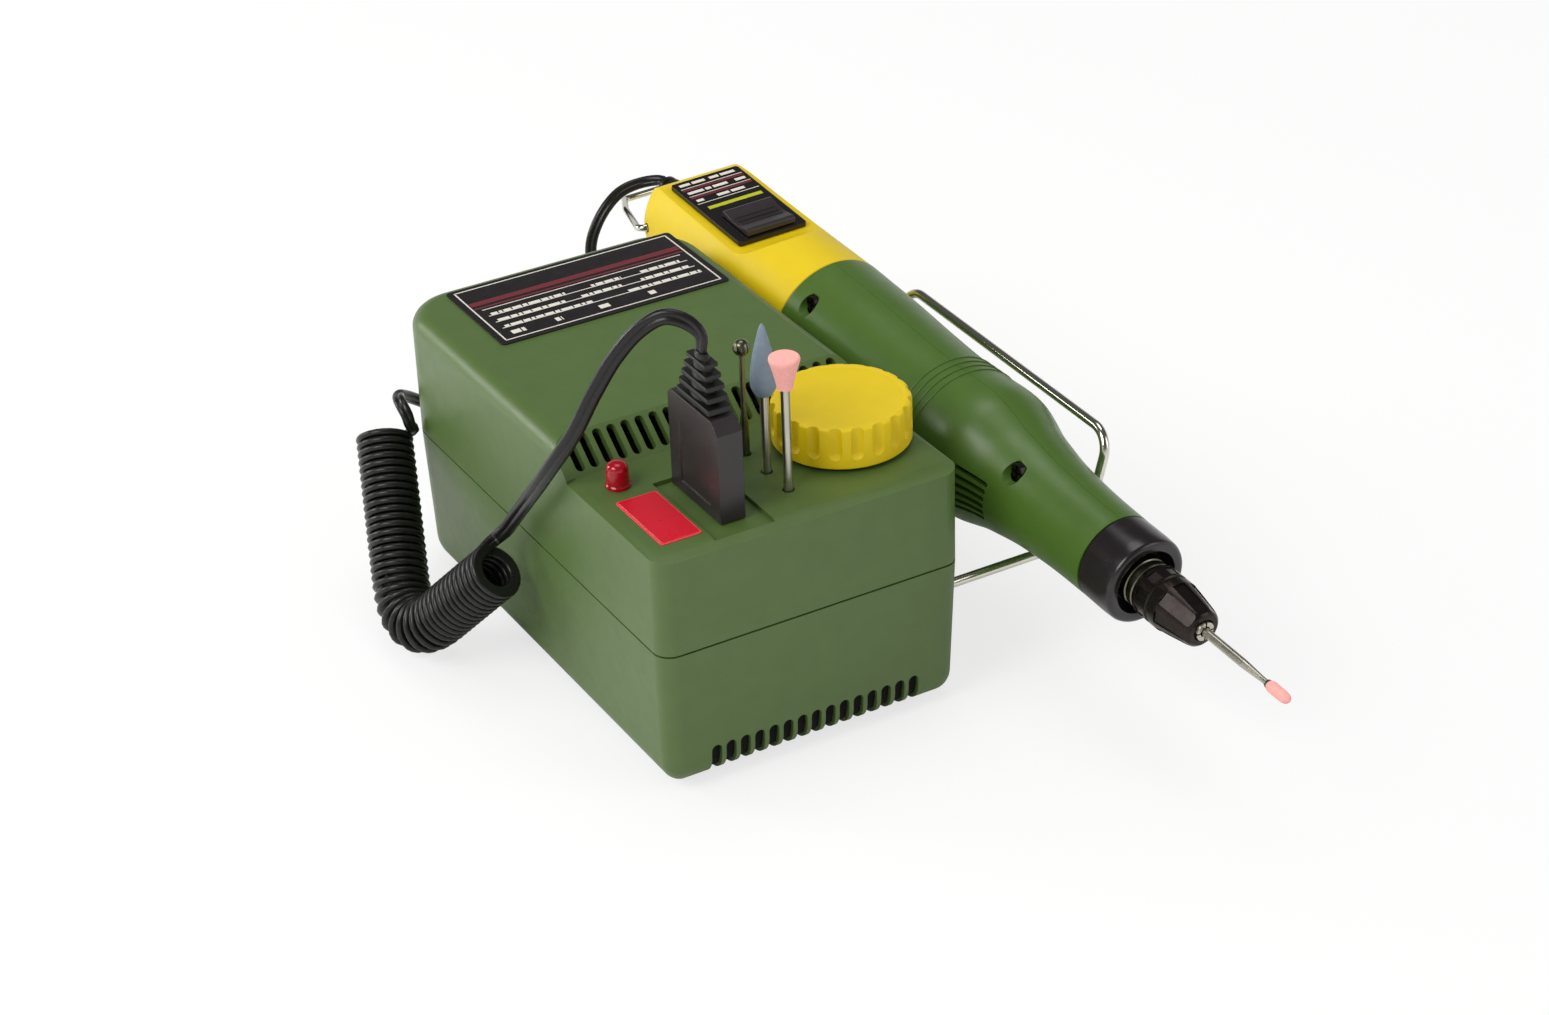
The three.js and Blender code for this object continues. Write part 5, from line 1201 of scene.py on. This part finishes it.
thumb_side = ([(13.5, -44), (13.5, -30.4), (15.1, -30.8), (15.35, -31.6)]
              + [(15.3 - 0.85 * math.sin(math.pi * t), -31.9 - 10.6 * t)
                 for t in (i / 10 for i in range(1, 10))]
              + [(15.35, -42.8), (15.1, -43.6)])
thumb = block("thumb", thumb_side, -8, 8, "X")
rounded(thumb, 0.25, segments=2)
stem = box("stem", -2.8, 2.8, 12, 13.7, -39.5, -34.5)
ridge = box("ridge", -6.6, 6.6, 14.2, 14.75, -0.22, 0.22)
ridges = copies("thumb_ridges", ridge, 5, start=(0, 0, -41), step=(0, 0, 1.9))
dress(laid(joined("slide_thumb", thumb, stem, ridges)), "switch", "black_plastic", black_plastic,
      "slide_switch")

# %% [markdown]
# ## Tail
# A short ribbed sleeve guides the cord out of the cap, turned from a stepped profile. A wire bail
# swings on two pins, to hang the drill by. It is bent like the cradle, in halves that mirror each
# other, and pinched towards its far end.

# %% Tail sleeve and bail
sleeve_end = CAP_END - SLEEVE_REACH
sleeve_profile = [(0, sleeve_end), (2.6, sleeve_end)]
for i in range(5):
    s = sleeve_end + 0.4 + i * 2.4
    r = 2.95 + i * 0.36
    sleeve_profile += [(r, s), (r + 0.1, s + 1.2), (r - 0.45, s + 1.5), (r - 0.4, s + 2.3)]
sleeve_profile += [(4.7, -73.3), (4.1, -72), (4.1, -70), (0, -70)]
tail_sleeve = turned("tail_sleeve", sleeve_profile, 48)
dress(laid(tail_sleeve), "drill", "black_rubber", black_rubber, "tail_relief")
droop = about("X", -16)
bail_hand = [(15.6, 0, 0), (20, 0, -0.2), (12.6, 0, -20.5), (7.8, 0, -29.6)]
bail_points = bail_hand + [(-x, y, z) for x, y, z in reversed(bail_hand)]
bail_line = bent([droop @ Vector(p) + place(0, 0, BAIL_PIVOT) for p in bail_points], 2.1, 0.5)
bail = wire("swinging_bail", bail_line, 1.0, 16)
dress(laid(bail), "bail", "wire_chrome", wire_chrome, "hanging_bail", angle=math.radians(60))

# %% [markdown]
# ## Nose and chuck
# A black ring closes the body. Deep inside it the bright flange of the collet holder shows, then
# the blackened nut with eight flats for a spanner, and in its mouth the slit end of the collet.
# All of them are turned, and one box, copied in a ring, cuts the flats, as a mill does.

# %% Nose ring and holder
RING_FROM, RING_TO = 127.1, 139.2
nose = turned("nose_cap", [
    (4, RING_FROM), (11.7, RING_FROM), (12, RING_FROM + 0.3), (12.05, RING_TO - 4),
    (11.9, RING_TO - 1.2), (11.6, RING_TO - 0.5), (11.1, RING_TO - 0.1), (10.5, RING_TO),
    (9.5, RING_TO), (9.0, RING_TO - 0.15), (8.8, RING_TO - 0.6), (8.5, RING_TO - 7),
    (4, RING_TO - 7), (4, RING_FROM)], 120)
dress(laid(nose), "drill", "black_plastic", ring_black, "nose_ring")
holder = turned("holder_flange", [
    (1.5, 134.6), (6, 134.6), (6.6, 135.2), (6.6, 138.6), (6.3, 138.9), (5.9, 139), (6.55, 139.3),
    (6.6, 141), (6.4, 141.3), (4.2, 141.4), (4.2, 153), (1.5, 153), (1.5, 134.6)], 80)
dress(laid(holder), "spindle", "steel", dark_steel, "collet_holder")

# %% Collet nut
NUT_FROM, NUT_TO, SHOULDER = 141.7, 161.6, 150.5
nut = turned("nut", [(0, NUT_FROM), (6.5, NUT_FROM), (7.0, NUT_FROM + 0.5), (7.1, NUT_FROM + 1.2),
                     (7.1, SHOULDER - 3.4), (6.7, SHOULDER - 3.1), (6.7, SHOULDER - 2.5),
                     (7.1, SHOULDER - 2.2)] + softened([
                         (7.1, SHOULDER), (6.8, SHOULDER + 2), (6.2, SHOULDER + 5.5),
                         (5.4, NUT_TO - 1.6), (4.9, NUT_TO - 0.5), (4.3, NUT_TO - 0.05)], 0.5)
             + [(3.9, NUT_TO), (0, NUT_TO)], 96)
cut(nut, turned("nut_bore", [(0, 141), (4.6, 141), (4.6, 154), (3.5, 154), (3.5, 158),
                             (3.0, 159.8), (3.0, 163), (0, 163)], 48))
flat = moved(box("flat", 0, 3, -1.75, 1.75, 0, 12.5), x=6.62, z=SHOULDER + 0.2,
             turn=about("Y", -9.5))
cut(nut, copies("nut_flats", flat, 8, turn=(0, 0, 45)))
rear_flat = moved(box("flat", 6.75, 9, -1.5, 1.5, NUT_FROM + 1.6, SHOULDER - 4),
                  turn=about("Z", 22.5))
cut(nut, copies("nut_rear_flats", rear_flat, 8, turn=(0, 0, 45)))
rounded(nut, 0.16, segments=2, angle=25)
dress(laid(nut), "nut", "dark_steel", chuck_steel, "collet_nut")

# %% Collet and point
collet = turned("collet_end", [
    (1.4, 148.3), (2.7, 148.3), (2.7, 156.2), (3.3, 156.6), (3.3, 158.6), (2.75, 160.8),
    (2.6, 162.2), (2.4, 162.3), (1.5, 162.3), (1.4, 162.2), (1.4, 148.3)], 64)
slit = box("slit", -4, 4, -0.22, 0.22, 152, 163)
cut(collet, copies("collet_slits", slit, 2, turn=(0, 0, 90)))
dress(laid(collet), "spindle", "steel", bright_steel, "collet")
POINT_FOOT = 186.0
point_rod = turned("point_rod", [
    (0, 145.5), (SHANK_RADIUS, 145.5), (SHANK_RADIUS, POINT_FOOT - 9.4)] + softened([
        (1.15, POINT_FOOT - 9), (0.95, POINT_FOOT - 5.6), (0.75, POINT_FOOT - 2.2)], 0.6)
    + [(0.75, POINT_FOOT + 2), (0, POINT_FOOT + 2)], 40)
dress(laid(point_rod), "point", "steel", bright_steel, "point_shank")
collar = turned("point_collar", [(0.7, POINT_FOOT - 0.7), (1.05, POINT_FOOT - 0.55),
                                 (1.15, POINT_FOOT - 0.2), (1.15, POINT_FOOT + 0.1),
                                 (0.7, POINT_FOOT + 0.15), (0.7, POINT_FOOT - 0.7)], 32)
dress(laid(collar), "point", "steel", dark_steel)
tip = turned("point_stone", [(0, POINT_FOOT + 0.1)] + softened([
    (1.1, POINT_FOOT + 0.1), (1.45, POINT_FOOT + 0.9), (1.5, POINT_FOOT + 3.6),
    (1.45, POINT_FOOT + 5.6), (1.15, POINT_FOOT + 6.9), (0.5, POINT_FOOT + 7.5)], 0.3)
    + [(0, POINT_FOOT + 7.6)], 40)
dress(laid(tip), "point", "pink_stone", pink_stone, "point_head")

# %% [markdown]
# ## Inside
# Little of the inside shows through the vents, but the transformer is worth a look when the case
# is opened up: its core is a stack of stamped sheets, so it is one sheet copied in a row.

# %% Laminations
sheet = box("sheet", -25, 25, 7.0, 7.86, 2.7, 52.7)
cut(sheet, box("window", -17, -8, 0, 20, 10.7, 44.7), box("window", 8, 17, 0, 20, 10.7, 44.7))
stack = copies("core_sheets", sheet, 34, step=(0, 1.0, 0), material=laminations)
dress(stack, "housing", "laminations", laminations, "transformer_core")

# %% [markdown]
# ## Finishes on the CAD nodes
# What is left of the CAD model is inside the case and the drill, where its shape is right as it
# is. Each of those nodes could be made again, but nothing would be gained, so it only gets the
# finish of its material slot.

# %% Finishes on the nodes
by_slot = {
    "case_green": case_green, "drill_green": drill_green, "yellow": yellow,
    "black_plastic": black_plastic, "black_rubber": black_rubber, "red_plastic": red_plate_finish,
    "black_plate": gloss_black, "steel": bright_steel, "wire_chrome": wire_chrome,
    "dark_steel": dark_steel, "laminations": laminations, "copper": copper_wire,
    "brass": turned_brass, "board": board_green, "pink_stone": pink_stone,
    "blue_rubber": blue_rubber,
}
for entry in frame["record"]["subparts"]:
    paint(entry["node"], by_slot[entry["material_slot"]])
for node in ("shell_screw_rear", "shell_screw_front"):
    paint(node, chuck_steel)            # they stand deep in their wells and take the nut's near-black steel

# %% [markdown]
# ## Floor and light
# A product picture on white: a pale floor that runs far back, one large soft lamp at the upper
# left, weaker ones at the right, overhead and at the rear left, and a white surround that metal
# can reflect. The white is the floor's and the surround's own, seen by camera rays, so no lamp
# has to burn the object out to get it.

# %% Floor
floor_mesh = bpy.data.meshes.new("floor")
reach = 6.0
floor_z = bottom_of("rubber_foot_front_left") * MM
floor_mesh.from_pydata([(-reach, -reach, floor_z), (reach, -reach, floor_z),
                        (reach, reach, floor_z), (-reach, reach, floor_z)], [], [(0, 1, 2, 3)])
floor = bpy.data.objects.new("floor", floor_mesh)
scene.collection.objects.link(floor)
floor_finish = bpy.data.materials.new("floor_finish")
floor_finish.use_nodes = True
tree = floor_finish.node_tree
matt = tree.nodes["Principled BSDF"]
matt.inputs["Base Color"].default_value = (0.86, 0.86, 0.85, 1)
matt.inputs["Roughness"].default_value = 0.9
matt.inputs["Specular IOR Level"].default_value = 0.1
glow = tree.nodes.new("ShaderNodeEmission")
glow.inputs["Color"].default_value = (1, 1, 1, 1)
glow.inputs["Strength"].default_value = 1.0
ray = tree.nodes.new("ShaderNodeLightPath")
share = tree.nodes.new("ShaderNodeMath")
share.operation = "MULTIPLY"
share.inputs[1].default_value = 0.72
blend_in = tree.nodes.new("ShaderNodeMixShader")
tree.links.new(ray.outputs["Is Camera Ray"], share.inputs[0])
tree.links.new(share.outputs[0], blend_in.inputs[0])
tree.links.new(matt.outputs[0], blend_in.inputs[1])
tree.links.new(glow.outputs[0], blend_in.inputs[2])
tree.links.new(blend_in.outputs[0], tree.nodes["Material Output"].inputs["Surface"])
floor_mesh.materials.append(floor_finish)
print("floor at", round(floor_z / MM, 2), "mm")

# %% [markdown]
# A mirror-like thing shows what stands round it. The real set was bright at table height and dark
# overhead, which keeps the roof's green deep and draws dark streaks along the wire. So the
# surround is even for soft light and white for the camera, but fades upwards for reflections.

# %% Surround
world = bpy.data.worlds.new("surround")
scene.world = world
world.use_nodes = True
tree = world.node_tree
sky = tree.nodes["Background"]
sky.inputs["Color"].default_value = (1, 1, 1, 1)
sky.inputs["Strength"].default_value = 0.55
white = tree.nodes.new("ShaderNodeBackground")
white.inputs["Color"].default_value = (1, 1, 1, 1)
white.inputs["Strength"].default_value = 1.0
studio = tree.nodes.new("ShaderNodeBackground")
direction = tree.nodes.new("ShaderNodeTexCoord")
split_up = tree.nodes.new("ShaderNodeSeparateXYZ")
fade = tree.nodes.new("ShaderNodeMapRange")
fade.inputs["From Min"].default_value = 0.14
fade.inputs["From Max"].default_value = 0.42
fade.inputs["To Min"].default_value = 1.0
fade.inputs["To Max"].default_value = 0.12
tree.links.new(direction.outputs["Generated"], split_up.inputs[0])
tree.links.new(split_up.outputs["Z"], fade.inputs["Value"])
tree.links.new(fade.outputs["Result"], studio.inputs["Strength"])
ray = tree.nodes.new("ShaderNodeLightPath")
mirrored = tree.nodes.new("ShaderNodeMixShader")
seen = tree.nodes.new("ShaderNodeMixShader")
tree.links.new(ray.outputs["Is Glossy Ray"], mirrored.inputs[0])
tree.links.new(sky.outputs[0], mirrored.inputs[1])
tree.links.new(studio.outputs[0], mirrored.inputs[2])
tree.links.new(ray.outputs["Is Camera Ray"], seen.inputs[0])
tree.links.new(mirrored.outputs[0], seen.inputs[1])
tree.links.new(white.outputs[0], seen.inputs[2])
tree.links.new(seen.outputs[0], tree.nodes["World Output"].inputs["Surface"])

# %% Lamps
target = place(0, 0, 40) * MM


def lamp(name, spot, size, watts):
    data = bpy.data.lights.new(name, "AREA")
    data.shape = "DISK"
    data.size = size
    data.energy = watts
    made = bpy.data.objects.new(name, data)
    made.location = spot
    made.rotation_euler = (target - Vector(spot)).to_track_quat("-Z", "Y").to_euler()
    scene.collection.objects.link(made)


lamp("key", (-1.1, -0.25, 1.15), 0.9, 14)
lamp("fill", (1.0, -1.1, 0.8), 1.0, 4.4)
lamp("overhead", (0.2, 0.3, 1.5), 0.8, 4.2)
lamp("rear_left", (-0.6, 0.62, 0.34), 0.36, 2.4)
print("lamps:", len(bpy.data.lights))

# %% [markdown]
# ## Last step
# The view layer is brought up to date, so that every piece stands where it was put.

# %% Finish
bpy.context.view_layer.update()
